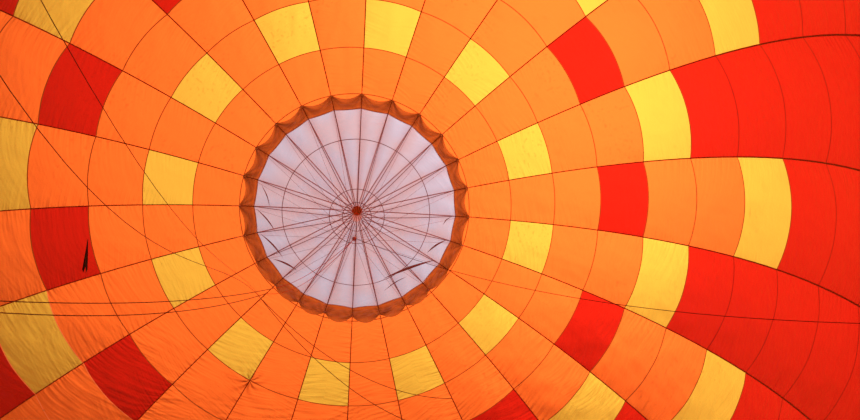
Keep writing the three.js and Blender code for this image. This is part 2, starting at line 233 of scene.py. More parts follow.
class Finish:
    """A material while its nodes are made"""

    def __init__(self, name):
        self.material = bpy.data.materials.new(name)
        self.material.use_nodes = True
        self.tree = self.material.node_tree
        self.tree.nodes.clear()

    def node(self, kind, settings=None, sockets=None, output=0):
        made = self.tree.nodes.new(kind)
        for key, value in (settings or {}).items():
            setattr(made, key, value)
        for key, value in (sockets or {}).items():
            if isinstance(value, Signal):
                self.tree.links.new(value.socket, made.inputs[key])
            else:
                made.inputs[key].default_value = value
        return Signal(self, made.outputs[output])

    def maths(self, operation, *values):
        return self.node("ShaderNodeMath", {"operation": operation}, dict(enumerate(values)))

    def blend(self, factor, first, second):
        sockets = {0: factor, 6: first, 7: second}
        return self.node("ShaderNodeMix", {"data_type": "RGBA"}, sockets, output=2)

    def vector(self, x, y, z):
        return self.node("ShaderNodeCombineXYZ", None, {0: x, 1: y, 2: z})

    def split(self, vector):
        made = self.tree.nodes.new("ShaderNodeSeparateXYZ")
        self.tree.links.new(vector.socket, made.inputs[0])
        return [Signal(self, made.outputs[n]) for n in range(3)]

    def noise(self, vector, scale, detail=2.0, roughness=0.5):
        sockets = {"Vector": vector, "Scale": scale, "Detail": detail, "Roughness": roughness}
        return self.node("ShaderNodeTexNoise", None, sockets)

    def ramp(self, value, low, high):
        """0 below low, 1 above high, smooth between"""
        sockets = {0: value, 1: low, 2: high}
        return self.node("ShaderNodeMapRange", {"interpolation_type": "SMOOTHSTEP"}, sockets)

    def bump(self, height, distance, strength=1.0):
        sockets = {"Height": height, "Distance": distance, "Strength": strength}
        return self.node("ShaderNodeBump", None, sockets)

    def done(self, shader):
        end = self.tree.nodes.new("ShaderNodeOutputMaterial")
        self.tree.links.new(shader.socket, end.inputs["Surface"])
        return self.material


# %% [markdown]
# ## Cloth that light comes through
# The fabric is nylon woven with a heavier thread every few millimetres, coated on the inside. Most
# of what the eye gets in here is daylight that has come through the cloth, so each colour is a thin
# translucent layer mixed with an ordinary one. The cloth pattern is laid out in metres on its own
# UV map: across the gore, and down it. Attributes on the mesh say how far each point is from the
# nearest load tape, because the cloth puckers there, where the tape is sewn on tighter than the
# cloth, how slack it hangs, and where it lies in a fold. Along a fold, and in the folds that fan out
# like the rays of a star at a knot, where a line is tied to a tape, the colour is darkened as painted
# shade and less light passes, which stands for the cloth lying double. The finest wrinkles are bump
# and not geometry, because cells small enough for them would run to millions.

# %% Cloth
RIPSTOP = 0.006
PUCKER_REACH = 0.25
PINK_REFLECTION_REACH = 0.14
GORE_SPACING = 9.0
FAN_HEIGHT, DRAPE_HEIGHT, CRUMPLE_HEIGHT, THREAD_HEIGHT = 0.034, 0.05, 0.006, 0.00012
BUNCHED, EVEN, EVERYWHERE = 0.055, 0.018, 0.004
KNOT_RAYS, KNOT_FADE, KNOT_HEIGHT = 9.0, 0.22, 0.09


def falloff(distance, reach):
    """1 at a tape, a half at reach, then slowly to nothing"""
    return 1 / (1 + (distance / reach) * (distance / reach))


def cloth(name, colour, through, share=0.72, pucker=1.0, roughness=0.42, seam_pink_reflection=0.0, soil=1.0,
          second=None, knots=()):
    """colour is what the surface reflects, through what it lets pass, share how much passes"""
    make = Finish(name)
    across, along, _ = make.split(make.node("ShaderNodeUVMap", {"uv_map": "cloth"}))
    edge, slack, fold_shade_mask = (
        make.node("ShaderNodeAttribute", {"attribute_name": layer}, output=2)
        for layer in ("edge", "slack", "fold")
    )
    near = falloff(edge, PUCKER_REACH)
    gore = (across / GORE_SPACING + 0.5).math("FLOOR")
    middle = across - gore * GORE_SPACING
    side = middle.math("GREATER_THAN", 0.0)
    wander = make.noise(make.vector(across * 0.5, along * 0.4, 29.0), 1.0, 0.0, 0.5)
    fan_lay = make.vector(edge * 0.9, along * 10.0 + edge * wander * 5.0, gore * 3.7 + side)
    fan = make.noise(fan_lay, 1.0, 1.2, 0.5)
    slant = along * 7.5 - middle * (wander * 7.0 - 1.0)
    ripple = make.noise(make.vector(middle * 0.45, slant, gore * 5.3), 1.0, 1.0, 0.45)
    gusts = make.noise(make.vector(across * 0.8, along * 0.8, 13.0), 1.0, 1.0, 0.5)
    bunch = make.ramp(gusts, 0.38, 0.62)
    drape = make.noise(make.vector(across * 1.7, along * 1.1 - across * 0.7, 3.0), 1.0, 1.0, 0.5)
    crumple = make.noise(make.vector(across, along, 7.0), 7.0, 4.0, 0.6)
    weft = (across / RIPSTOP).math("FRACT").math("PINGPONG", 0.5)
    warp = (along / RIPSTOP).math("FRACT").math("PINGPONG", 0.5)
    thread = weft.math("LESS_THAN", 0.06).math("MAXIMUM", warp.math("LESS_THAN", 0.06))
    folds = fan * (near + slack * 0.6 + 0.06) * (FAN_HEIGHT * pucker)
    folds = folds + ripple * (slack * (bunch * BUNCHED + EVEN) + EVERYWHERE)
    folds = folds + drape * DRAPE_HEIGHT + crumple * (CRUMPLE_HEIGHT * pucker)
    # The fold mask and the knot rays added below make one mask of painted shade.
    painted_fold_shade = fold_shade_mask
    for number, place, reach in knots:
        down, beside = along - reach, edge + 0.002
        far = (down * down + beside * beside).math("SQRT")
        here = gore.math("COMPARE", number, 0.1) * side.math("COMPARE", place, 0.1)
        turn = down.math("ARCTAN2", beside) * KNOT_RAYS + far * KNOT_RAYS
        rays = turn.math("COSINE") * 0.5 + 0.5
        tie = here * rays * (far / -KNOT_FADE).math("EXPONENT")
        folds = folds + tie * KNOT_HEIGHT
        painted_fold_shade = painted_fold_shade + tie * 0.9
    normal = make.bump(folds + thread * THREAD_HEIGHT, 1.0, 1.0)

    stain = make.ramp(make.noise(make.vector(across, along, 11.0), 1.1, 6.0, 0.7), 0.54, 0.72)
    speck = make.ramp(make.noise(make.vector(across, along, 17.0), 11.0, 0.0, 0.5), 0.68, 0.72)
    patch = make.ramp(make.noise(make.vector(across, along, 23.0), 0.6, 1.0, 0.5), 0.52, 0.62)
    dirt = ((stain * 0.45 + speck * patch) * soil).math("MINIMUM", 1.0)
    dirt_and_shade_tone = tuple(channel * 0.45 for channel in colour)
    # The colour darkens with real dirt and ripstop threads, and with painted shade along folds and knot
    # rays.
    stained_and_shaded = make.blend(dirt * 0.7 + thread * 0.12 + painted_fold_shade * 0.9, (*colour, 1.0), (*dirt_and_shade_tone, 1.0))
    skin = make.node("ShaderNodeBsdfPrincipled", None, {
        "Base Color": stained_and_shaded,
        "Roughness": make.ramp(crumple, 0.2, 0.8) * 0.12 + (roughness - 0.06),
        "Normal": normal,
    })
    passing = {"Color": (*through, 1.0), "Normal": normal}
    glow = make.node("ShaderNodeBsdfTranslucent", None, passing)
    # A second, pinker colour that passes, mottled and stronger near the tapes, is painted reflection of the
    # orange cloth.
    if second:
        pink_reflection_passing = {"Color": (*second, 1.0), "Normal": normal}
        pink_reflection_glow = make.node("ShaderNodeBsdfTranslucent", None, pink_reflection_passing)
        pink_reflection_mottle = make.noise(make.vector(across, along, 31.0), 0.9, 1.0, 0.5) + near * 0.12
        pink_reflection_share = make.ramp(pink_reflection_mottle, 0.42, 0.72)
        glow = make.node("ShaderNodeMixShader", None, {0: pink_reflection_share, 1: glow, 2: pink_reflection_glow})
    # Less light passes through dirt and threads, and along folds and knot rays as painted shade for cloth
    # lying double.
    passes = share * (1 - dirt * 0.38) * (1 - painted_fold_shade * 0.6) - thread * 0.05
    # Near each seam less light passes and the pinker face shows: painted reflection of the orange cloth.
    if seam_pink_reflection:
        passes = passes - falloff(edge, PINK_REFLECTION_REACH) * seam_pink_reflection
    return make.done(make.node("ShaderNodeMixShader", None, {0: passes, 1: skin, 2: glow}))


# %% Cloth colours
# For each side of a knotted tape: the gore, whether it lies on the gore's far side, and the reach
# Each knot also gives its rays of folds painted shade in the cloth finish.
KNOTS = ((8, 1, 6.45), (9, 0, 6.45))
ORANGE = cloth("orange_cloth", (0.90, 0.16, 0.020), (0.82, 0.128, 0.017), soil=0.5, knots=KNOTS)
YELLOW = cloth("yellow_cloth", (0.82, 0.48, 0.06), (0.62, 0.325, 0.034), soil=0.5, knots=KNOTS)
RED = cloth("red_cloth", (0.55, 0.013, 0.006), (0.48, 0.010, 0.0036), soil=0.35)
MOUTH_BAND = cloth("mouth_band_cloth", (0.30, 0.012, 0.008), (0.30, 0.006, 0.003), 0.45, 1.0, 0.75)
WARM_SEAM = cloth("warm_seam", (0.42, 0.080, 0.012), (0.20, 0.030, 0.004), 0.60, 0.3)
RED_SEAM = cloth("red_seam", (0.30, 0.008, 0.004), (0.24, 0.003, 0.002), 0.60, 0.3)
# A painted highlight: a pale seam finish for a few seams on the low side, where light would catch them.
PAINTED_HIGHLIGHT_SEAM = cloth("painted_highlight_seam", (0.92, 0.33, 0.15), (0.88, 0.18, 0.05), 0.50, 0.3)
# The valve's pink mottles and its pink near the seams are painted reflection of the orange cloth.
VALVE = cloth("valve_cloth", (0.66, 0.50, 0.54), (0.335, 0.310, 0.375), pucker=0.25, seam_pink_reflection=0.20,
              soil=0.15, second=(0.372, 0.285, 0.315))
VALVE_SEAM = cloth("valve_seam", (0.30, 0.14, 0.13), (0.09, 0.035, 0.035), 0.60, 0.3)
VALVE_LAP = cloth("valve_lap", (0.50, 0.36, 0.38), (0.56, 0.58, 0.62), 0.76, 1.2)
# A darker finish for the pleats: painted shade of the folds.
VALVE_FOLD_SHADE = cloth("valve_fold_shade", (0.42, 0.18, 0.16), (0.13, 0.05, 0.05), 0.50, 0.5)
VALVE_PATCH = cloth("valve_patch", (0.75, 0.34, 0.28), (0.40, 0.19, 0.17), 0.60, 0.3)
TELLTALE = cloth("telltale_cloth", (0.02, 0.015, 0.02), (0.01, 0.006, 0.006), 0.10, 0.5, 0.6)
print("cloth finishes:", len([m for m in bpy.data.materials if "cloth" in m.name]))

# %% [markdown]
# ## Mesh helpers
# A sheet of cloth starts as the grid operator's flat grid. Each crossing is then moved to its place
# on the wall, each cell gets its colour, and each corner gets its place on the cut cloth in the UV
# map. Turned metal is a profile spun round its axis, and every finished mesh is put up in the same
# way: it rides on its body, and the solids it stands for are hidden.

# %% Mesh helpers


def put_up(name, mesh, finishes, body, replaced=()):
    """A piece from a finished mesh. A piece without a body is blended between two later"""
    piece = bpy.data.objects.new(name, mesh)
    bpy.context.collection.objects.link(piece)
    for finish in finishes:
        mesh.materials.append(finish)
    mesh.shade_smooth()
    if body:
        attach(piece, body)
    if replaced:
        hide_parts(*replaced)
    return piece


def place_piece(name, bm, finishes, body, replaced=()):
    mesh = bpy.data.meshes.new(name)
    bm.to_mesh(mesh)
    bm.free()
    return put_up(name, mesh, finishes, body, replaced)


def lay_grid(bm, columns, rows, point, lie=None, tone=None, edge=None, slack=None, fold=None):
    """Adds a grid to bm. tone takes a cell's column and row, the other functions a crossing's"""
    layer = bm.loops.layers.uv.get("cloth") or bm.loops.layers.uv.new("cloth")
    floats = bm.verts.layers.float
    written = {name: floats.get(name) or floats.new(name) for name in ("edge", "slack", "fold")}
    made = bmesh.ops.create_grid(bm, x_segments=columns, y_segments=rows, size=0.5)["verts"]
    crossing = {}
    for vert in made:
        crossing[vert] = (round((vert.co.x + 0.5) * columns), round((vert.co.y + 0.5) * rows))
    faces = {face for vert in made for face in vert.link_faces}
    for face in faces:
        corners = [crossing[vert] for vert in face.verts]
        i, j = (min(corner[n] for corner in corners) for n in (0, 1))
        face.material_index = tone(i, j) if tone else 0
        for loop in face.loops:
            if lie:
                loop[layer].uv = lie(*crossing[loop.vert])
    for vert, (i, j) in crossing.items():
        vert.co = point(i, j)
        for name, value in (("edge", edge), ("slack", slack), ("fold", fold)):
            if value:
                vert[written[name]] = value(i, j)
    return list(faces)


# %% Slackness
LEAN = math.atan2(PICTURE_DOWN.y, PICTURE_DOWN.x)
LEAST_SLACK, SLACKEST_REACH = 0.12, 9.0
print("the low side is at", round(math.degrees(LEAN), 1), "degrees")


def low_side(azimuth):
    """1 on the side that is down in the picture, 0 on the upper half"""
    return max(0.0, math.cos(azimuth - LEAN))


def slackness(s, azimuth):
    """The side that lay on the ground while the envelope filled is slackest, more so lower down"""
    down = min(s / SLACKEST_REACH, 1.0) ** 2
    return down * (LEAST_SLACK + (1 - LEAST_SLACK) * low_side(azimuth) ** 0.7)


# %% Turned shapes


def lathe(bm, profile, origin, axis, steps=24):
    """A profile of (radius, height) points turned about an axis through origin"""
    before = set(bm.verts)
    spots = [bm.verts.new((radius, 0, height)) for radius, height in profile]
    edges = [bm.edges.new(pair) for pair in zip(spots, spots[1:])]
    bmesh.ops.spin(bm, geom=spots + edges, axis=(0, 0, 1), cent=(0, 0, 0), angle=math.tau,
                   steps=steps, use_merge=True)
    bmesh.ops.remove_doubles(bm, verts=[vert for vert in bm.verts if vert not in before], dist=1e-5)
    placing = Matrix.Translation(origin) @ Vector(axis).to_track_quat("Z", "Y").to_matrix().to_4x4()
    bmesh.ops.transform(bm, matrix=placing, verts=[vert for vert in bm.verts if vert not in before])


def ring(bm, origin, axis, radius, thickness, steps=20):
    """A round ring: a small circle turned about an axis beside it"""
    sides = 10
    profile = [(radius + thickness * math.cos(math.tau * n / sides),
                thickness * math.sin(math.tau * n / sides)) for n in range(sides + 1)]
    lathe(bm, profile, origin, axis, steps)


# %% Cells across a strip


def spread(half, band, cells):
    """Positions across a strip: a narrow band along each side and even cells between"""
    band = min(band, half * 0.4)
    inner = [(2 * n / cells - 1) * (half - band) for n in range(cells + 1)]
    return [-half, *inner, half]


# %% [markdown]
# ## The gores
# Each gore bows out between its two tapes, most at the middle of its height. Fifteen rows of panels
# and a narrow border run down it, joined by flat-felled seams 24 mm wide. Two layouts of colour
# take turns round the envelope, which makes the stepped chequers of the photograph. On the low side
# a few seams are given a pale finish, a painted highlight where light would catch them. Each panel
# also fills out a little between its seams, the cloth puckers along the tapes, and the opening's edge
# is drawn straight between two tapes. A cloth simulation could fill each gore, but it couldn't reach
# such small waves on twenty metres of cloth in the time, so they are sums of sines that die away
# from the tapes.

# %% Gore layout
# One letter for each row, from the opening down: orange, yellow, red and the mouth's dark border
LAYOUTS = ("oooorooyrrrrrrrm", "ooyooyrrrrrrrrrm")
TONES = "oyrm"
GORE_FINISHES = (ORANGE, YELLOW, RED, MOUTH_BAND, WARM_SEAM, RED_SEAM, PAINTED_HIGHLIGHT_SEAM)
WARM_SEAM_TONE, RED_SEAM_TONE, PAINTED_HIGHLIGHT_SEAM_TONE = 4, 5, 6
# The gores and rows whose seams take the painted highlight.
PAINTED_HIGHLIGHT_GORES, PAINTED_HIGHLIGHT_ROWS = (8, 9, 10, 11), (4, 5, 6, 7)
SEAM_WIDTH = 0.024
TAPE_BAND = 0.012
CELLS_ACROSS = 20
CELLS_DOWN = 12
BORDER_CELLS = 5
PILLOW = 0.012
PUCKER, PUCKER_FADE, PUCKER_CLEAR = 0.006, 0.16, 0.04
PUCKER_TURNS, FINE_PUCKER_TURNS = 15.0, 24.0
SLACK_WAVE, SLACK_CLEAR = 0.014, 0.15
EDGE_DRAW = 0.045


def gore_rows():
    """Arc lengths down a gore, and for each step between them its panel row and if it is a seam"""
    stations, steps = [], []
    start = OPENING_REACH
    for row in range(PANEL_ROWS + 1):
        last = row == PANEL_ROWS
        seam = GORE_END if last else FIRST_SEAM + PANEL_ROW * row
        stop = seam if last else seam - SEAM_WIDTH / 2
        cells = CELLS_DOWN if row else BORDER_CELLS
        for n in range(cells):
            stations.append(start + (stop - start) * n / cells)
            steps.append((row, False))
        stations.append(stop)
        if not last:
            steps.append((row, True))
        start = seam + SEAM_WIDTH / 2
    return stations, steps


STATIONS, STEPS = gore_rows()
COLUMNS = CELLS_ACROSS + 2
print("rows of cells down a gore:", len(STEPS), "columns:", COLUMNS)


def seam_tone(k, layout, row):
    # A few seams on the low side get the painted highlight.
    if k in PAINTED_HIGHLIGHT_GORES and row in PAINTED_HIGHLIGHT_ROWS:
        return PAINTED_HIGHLIGHT_SEAM_TONE
    pair = layout[row : row + 2]
    return RED_SEAM_TONE if set(pair) <= set("rm") else WARM_SEAM_TONE


def draw_in(s, u):
    """The opening's edge is drawn straight between two tapes, and the cloth below it follows"""
    near = max(0.0, 1 - abs(s - OPENING_REACH) / (FIRST_SEAM - OPENING_REACH))
    return EDGE_DRAW * (1 - u * u) * near


def panel_fill(s, row):
    """How far through its panel row a point is, from 0 at one seam to 1 at the next"""
    top = FIRST_SEAM + PANEL_ROW * (row - 1) if row else OPENING_REACH
    depth = PANEL_ROW if row else FIRST_SEAM - OPENING_REACH
    return min(max((s - top) / depth, 0.0), 1.0)


# %% [markdown]
# Each gore is one sheet, from the opening to the hem. Seams are narrow rows of their own, so that
# they can be darker than the panels beside them. The area that a sheet is cut to is worked out from
# its widths and printed.

# %% Gores
widths = [at(s)[0] * GORE_ANGLE for s in STATIONS]
GORE_CUT_AREA = sum(
    (a + b) / 2 * (t - s) for a, b, s, t in zip(widths, widths[1:], STATIONS, STATIONS[1:])
)


def gore_cloth(k):
    layout = LAYOUTS[k % 2]
    middle = (k + 0.5) * GORE_ANGLE
    draw = random.Random(k)
    phases = [draw.uniform(0, math.tau) for _ in range(4)]
    halves = [width / 2 for width in widths]
    spots = [spread(half, TAPE_BAND, CELLS_ACROSS) for half in halves]

    def point(i, j):
        s, half = STATIONS[j], halves[j]
        aside = spots[j][COLUMNS - i]
        u = aside / half
        row = STEPS[min(j, len(STEPS) - 1)][0]
        rise = bulge(s) * 2 * half * (1 - u * u)
        rise += PILLOW * math.sin(math.pi * panel_fill(s, row)) * (1 - u * u)
        gap = half - abs(aside)
        side = 0 if aside < 0 else 2
        wave = math.sin(s * PUCKER_TURNS + phases[side])
        wave += 0.6 * math.sin(s * FINE_PUCKER_TURNS + phases[side + 1])
        rise += PUCKER * wave * math.exp(-gap / PUCKER_FADE) * min(gap / PUCKER_CLEAR, 1.0)
        swing = math.sin(s * 8.3 + aside * 5.0 + phases[0])
        swing *= math.sin(s * 2.1 - aside * 2.0 + phases[1])
        rise += SLACK_WAVE * slackness(s, middle) * swing * min(gap / SLACK_CLEAR, 1.0)
        return wall(s - draw_in(s, u), middle + u * GORE_ANGLE / 2, rise)

    def lie(i, j):
        return (spots[j][COLUMNS - i] + GORE_SPACING * k, STATIONS[j])

    def edge(i, j):
        return halves[j] - abs(spots[j][COLUMNS - i])

    def tone(i, j):
        row, seam = STEPS[j]
        if seam:
            return seam_tone(k, layout, row)
        if i in (0, COLUMNS - 1):
            return RED_SEAM_TONE if layout[row] in "rm" else WARM_SEAM_TONE
        return TONES.index(layout[row])

    def slack(i, j):
        return slackness(STATIONS[j], middle)

    bm = bmesh.new()
    lay_grid(bm, COLUMNS, len(STEPS), point, lie, tone, edge, slack)
    piece = place_piece(f"gore_cloth_{k + 1:02d}", bm, GORE_FINISHES, "envelope",
                        [f"gore_{k + 1:02d}"])


for k in range(GORES):
    gore_cloth(k)
print("gores:", GORES, "cut area of each", round(GORE_CUT_AREA, 1), "square metres")

# %% [markdown]
# ## Webbing
# The load tapes are polyester webbing, sewn over the seams on the outside. Seen from inside they
# are shadows on the glowing cloth. They could be a dark stripe in the cloth's finish, but they
# cross the open crown too, so they are geometry: a narrow grid down the wall that is then given its
# thickness. The weave is a product of two sines in the bump.

# %% Webbing finish
RIBS_UP, RIBS_ACROSS = 420.0, 310.0


def webbing(name, colour, through, share=0.3, roughness=0.8):
    make = Finish(name)
    along = make.node("ShaderNodeTexCoord", None, None, output=3)
    x, y, z = make.split(along)
    rib = (z * RIBS_UP).math("SINE") * ((x + y) * RIBS_ACROSS).math("SINE")
    wear = make.noise(along, 3.0, 4.0, 0.6)
    dark = tuple(channel * 0.5 for channel in colour)
    normal = make.bump(rib, 0.0006)
    skin = make.node("ShaderNodeBsdfPrincipled", None, {
        "Base Color": make.blend(make.ramp(wear, 0.35, 0.7), (*colour, 1.0), (*dark, 1.0)),
        "Roughness": wear * 0.2 + (roughness - 0.1),
        "Normal": normal,
    })
    glow = make.node("ShaderNodeBsdfTranslucent", None, {"Color": (*through, 1.0)})
    return make.done(make.node("ShaderNodeMixShader", None, {0: share, 1: skin, 2: glow}))


TAPE = webbing("load_tape_webbing", (0.34, 0.040, 0.018), (0.85, 0.18, 0.05), 0.42)
print("webbing finish:", TAPE.name)

# %% Load tapes
TAPE_THICKNESS = 0.003
TAPE_CLEAR = 0.002
TAPE_CELLS = 4


def ribbon(bm, reaches, azimuth, width, height, thickness=TAPE_THICKNESS):
    """A tape down the wall; height takes an arc length and a distance from the tape's middle"""

    def point(i, j):
        aside = (0.5 - i / TAPE_CELLS) * width
        return wall(reaches[j], azimuth, height(reaches[j], abs(aside)), aside)

    faces = lay_grid(bm, TAPE_CELLS, len(reaches) - 1, point)
    bmesh.ops.solidify(bm, geom=faces, thickness=-thickness)


def over_gores(s, aside):
    """The cloth rises from the tape at the slope of its bulge, and the tape lies on it"""
    return TAPE_CLEAR + aside * 4 * bulge(s)


bm = bmesh.new()
tape_reaches = STATIONS[::2] + [MOUTH_REACH]
for k in range(GORES):
    ribbon(bm, tape_reaches, k * GORE_ANGLE, TAPE_WIDTH, over_gores)
tape_net = place_piece("load_tape_net", bm, [TAPE], "envelope", ["load_tapes"])
print("load tape net faces:", len(tape_net.data.polygons))

# %% [markdown]
# The cloth ends in a hem with a rope in it, and the tapes are sewn over it. A ring spun in fine
# steps follows the mouth. The same helper makes the tape on the opening's edge, where each step is
# then pulled in between two tapes.

# %% Mouth hem
HEM_ROPE = 0.007
HEM_SIDES = 12
HEM_STEPS = 192


def hoop(name, s_middle, half_width, half_height, drawn=0.0):
    """A band round the envelope: a flattened ring spun about the axis, drawn in between tapes"""
    r, z, slope = at(s_middle)
    bm = bmesh.new()
    section = bmesh.ops.create_circle(bm, segments=HEM_SIDES, radius=1.0)["verts"]
    along = Vector((math.cos(slope), 0, -math.sin(slope)))
    outward = Vector((math.sin(slope), 0, math.cos(slope)))
    centre = Vector((r, 0, z))
    for vert in section:
        vert.co = centre + along * vert.co.x * half_width + outward * vert.co.y * half_height
    edges = {edge for vert in section for edge in vert.link_edges}
    bmesh.ops.spin(bm, geom=section + list(edges), axis=(0, 0, 1), cent=(0, 0, 0),
                   angle=math.tau, steps=HEM_STEPS, use_merge=True)
    bmesh.ops.remove_doubles(bm, verts=bm.verts, dist=1e-5)
    for vert in bm.verts:
        u = 2 * ((math.atan2(vert.co.y, vert.co.x) / GORE_ANGLE) % 1.0) - 1
        pull = drawn * (1 - u * u)
        vert.co.xy *= 1 - pull * math.cos(slope) / vert.co.xy.length
        vert.co.z += pull * math.sin(slope)
    bmesh.ops.recalc_face_normals(bm, faces=bm.faces)
    place_piece(name, bm, [TAPE], "envelope")


hoop("mouth_hem", MOUTH_REACH - HEM_WIDTH / 2, HEM_WIDTH / 2 + TAPE_CLEAR, HEM_ROPE)
print("mouth hem, metres across:", round(2 * at(MOUTH_REACH)[0], 2))

# %% [markdown]
# ## The crown
# The same tapes run on across the opening and gather on an alloy ring, each folded round it and
# sewn. A doubled tape stiffens the opening's edge. The 24 ribbons are one piece, because they are
# one net and nothing in it moves.

# %% Crown tapes
RING_RADIUS = 0.155
RING_LIFT, LIFT_REACH = 0.012, 0.5
CROWN_STEPS = 24
EDGE_TAPE_HALF = 0.008


def over_opening(s, aside):
    """The tapes climb over the crown ring"""
    return RING_LIFT * max(0.0, 1 - (s - RING_RADIUS) / LIFT_REACH) ** 2


bm = bmesh.new()
across_opening = OPENING_REACH - RING_RADIUS
crown_reaches = [RING_RADIUS + across_opening * (n / CROWN_STEPS) for n in range(CROWN_STEPS + 1)]
for k in range(GORES):
    ribbon(bm, crown_reaches, k * GORE_ANGLE, TAPE_WIDTH * 0.95, over_opening)
crown_net = place_piece("crown_tape_net", bm, [TAPE], "envelope", ["crown_tapes"])
hoop("opening_edge_tape", OPENING_REACH - EDGE_TAPE_HALF, EDGE_TAPE_HALF, TAPE_CLEAR, EDGE_DRAW)
print("crown tape net faces:", len(crown_net.data.polygons))

# %% [markdown]
# A webbing cap is tied over the crown ring, so from inside the ring is a dark spot. It could be a
# flat disc, but rings of inset faces let it crown a little, as tied cloth does.

# %% Crown cap
CAP_RADIUS, CAP_HEIGHT = 0.15, 5.824
CAP_CROWN, CAP_THICKNESS = 0.012, 0.002
CAP_RINGS = 4
bm = bmesh.new()
bmesh.ops.create_circle(bm, segments=36, radius=CAP_RADIUS, cap_ends=True)
for n in range(CAP_RINGS):
    bmesh.ops.inset_region(bm, faces=[max(bm.faces, key=lambda face: len(face.verts))],
                           thickness=CAP_RADIUS / (CAP_RINGS + 1), use_even_offset=True)
for vert in bm.verts:
    share = vert.co.xy.length / CAP_RADIUS
    vert.co.z = CAP_HEIGHT + CAP_CROWN * (1 - share * share)
bmesh.ops.solidify(bm, geom=bm.faces[:], thickness=-CAP_THICKNESS)
bmesh.ops.recalc_face_normals(bm, faces=bm.faces)
cap = place_piece("crown_cap", bm, [TAPE], "envelope")
print("crown cap faces:", len(cap.data.polygons))

# %% [markdown]
# ## Metal
# The crown ring is turned aluminium and the karabiners are forged steel. A plain metal shader would
# look like a mirror, so fine turning marks and smears from handling break up the shine. Wire rope
# gets its strands as bump from its UV map, because as geometry they would take millions of faces.

# %% Metal finishes
STRAND_PITCH, STRAND_DEPTH, MARK_DEPTH = 0.005, 0.0012, 0.0002


def metal(name, colour, roughness, marks=900.0, strands=0):
    """marks is how close the turning marks are, strands how many lie round a rope's outside"""
    make = Finish(name)
    spot = make.node("ShaderNodeTexCoord", None, None, output=3)
    x, y, z = make.split(spot)
    grain = make.noise(make.vector(x * 4.0, y * 4.0, z * marks), 1.0, 3.0, 0.7)
    smear = make.noise(spot, 22.0, 4.0, 0.6)
    dark = tuple(channel * 0.72 for channel in colour)
    relief = grain * MARK_DEPTH
    if strands:
        around, along, _ = make.split(make.node("ShaderNodeUVMap", {"uv_map": "lay"}))
        turns = (around * strands + along / STRAND_PITCH) * math.pi
        relief = turns.math("SINE").math("ABSOLUTE") * STRAND_DEPTH
    skin = make.node("ShaderNodeBsdfPrincipled", None, {
        "Base Color": make.blend(make.ramp(smear, 0.45, 0.75), (*colour, 1.0), (*dark, 1.0)),
        "Metallic": 1.0,
        "Roughness": smear * 0.25 + (roughness - 0.1),
        "Normal": make.bump(relief, 1.0),
    })
    return make.done(skin)


ALLOY = metal("turned_alloy", (0.78, 0.79, 0.81), 0.34)
STEEL = metal("forged_steel", (0.62, 0.63, 0.66), 0.30, 300.0)
WIRE_STEEL = metal("stranded_wire", (0.52, 0.53, 0.56), 0.42, strands=6)
for node, finish in {"pulley_sheave": ALLOY, "pulley_block": STEEL}.items():
    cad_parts[node].data.materials.clear()
    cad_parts[node].data.materials.append(finish)
print("the frame's own pieces with a new finish: pulley_sheave, pulley_block")

# %% [markdown]
# The ring at the very top carries the load of all the tapes. It could be a torus, but the real one
# is a turned band with its corners rounded off, so a band's profile is spun.

# %% Crown ring
RING_TOP, RING_HEIGHT, RING_HALF, RING_CORNER = 5.8207, 0.016, 0.010, 0.003


def rounded_band(low, high, bottom, top, corner, steps=4):
    """A closed profile of (radius, height) points with rounded corners"""
    spots = []
    corners = ((high, top, 0), (low, top, 1), (low, bottom, 2), (high, bottom, 3))
    for x, z, quarter in corners:
        cx = x - corner if x == high else x + corner
        cz = z - corner if z == top else z + corner
        for n in range(steps + 1):
            angle = (quarter + n / steps) * math.pi / 2
            spots.append((cx + corner * math.cos(angle), cz + corner * math.sin(angle)))
    return spots + spots[:1]


bm = bmesh.new()
band = rounded_band(RING_RADIUS - RING_HALF, RING_RADIUS + RING_HALF, RING_TOP - RING_HEIGHT,
                    RING_TOP, RING_CORNER)
lathe(bm, band, (0, 0, 0), (0, 0, 1), 72)
bmesh.ops.recalc_face_normals(bm, faces=bm.faces)
place_piece("turned_crown_ring", bm, [ALLOY], "envelope", ["crown_ring"])
print("crown ring profile points:", len(band))

# %% [markdown]
# ## Flying wires
# Six stranded wires from neighbouring tapes lie side by side in a pressed collar over a thimble,
# and each thimble hangs on a karabiner. The wires could be bevelled curves, but a curve has no UV
# map in metres for the strands. So a small helper sets rings of points along a path and joins them,
# and turned parts such as swages, collars and thimbles are profiles spun about their own axes.

# %% Wire and karabiner places
WIRE_GROUP = 6
FRAME_RADIUS, WIRE_DROP = 0.780, 1.750
UP = Vector((0, 0, 1))
mouth_height = at(MOUTH_REACH)[1]


def karabiner_top(n):
    azimuth = ((WIRE_GROUP - 1) / 2 + n * WIRE_GROUP) * GORE_ANGLE
    return Vector((FRAME_RADIUS * math.cos(azimuth), FRAME_RADIUS * math.sin(azimuth),
                   mouth_height - WIRE_DROP))


print("karabiners at", [tuple(round(c, 3) for c in karabiner_top(n)) for n in range(4)])

# %% Round bars


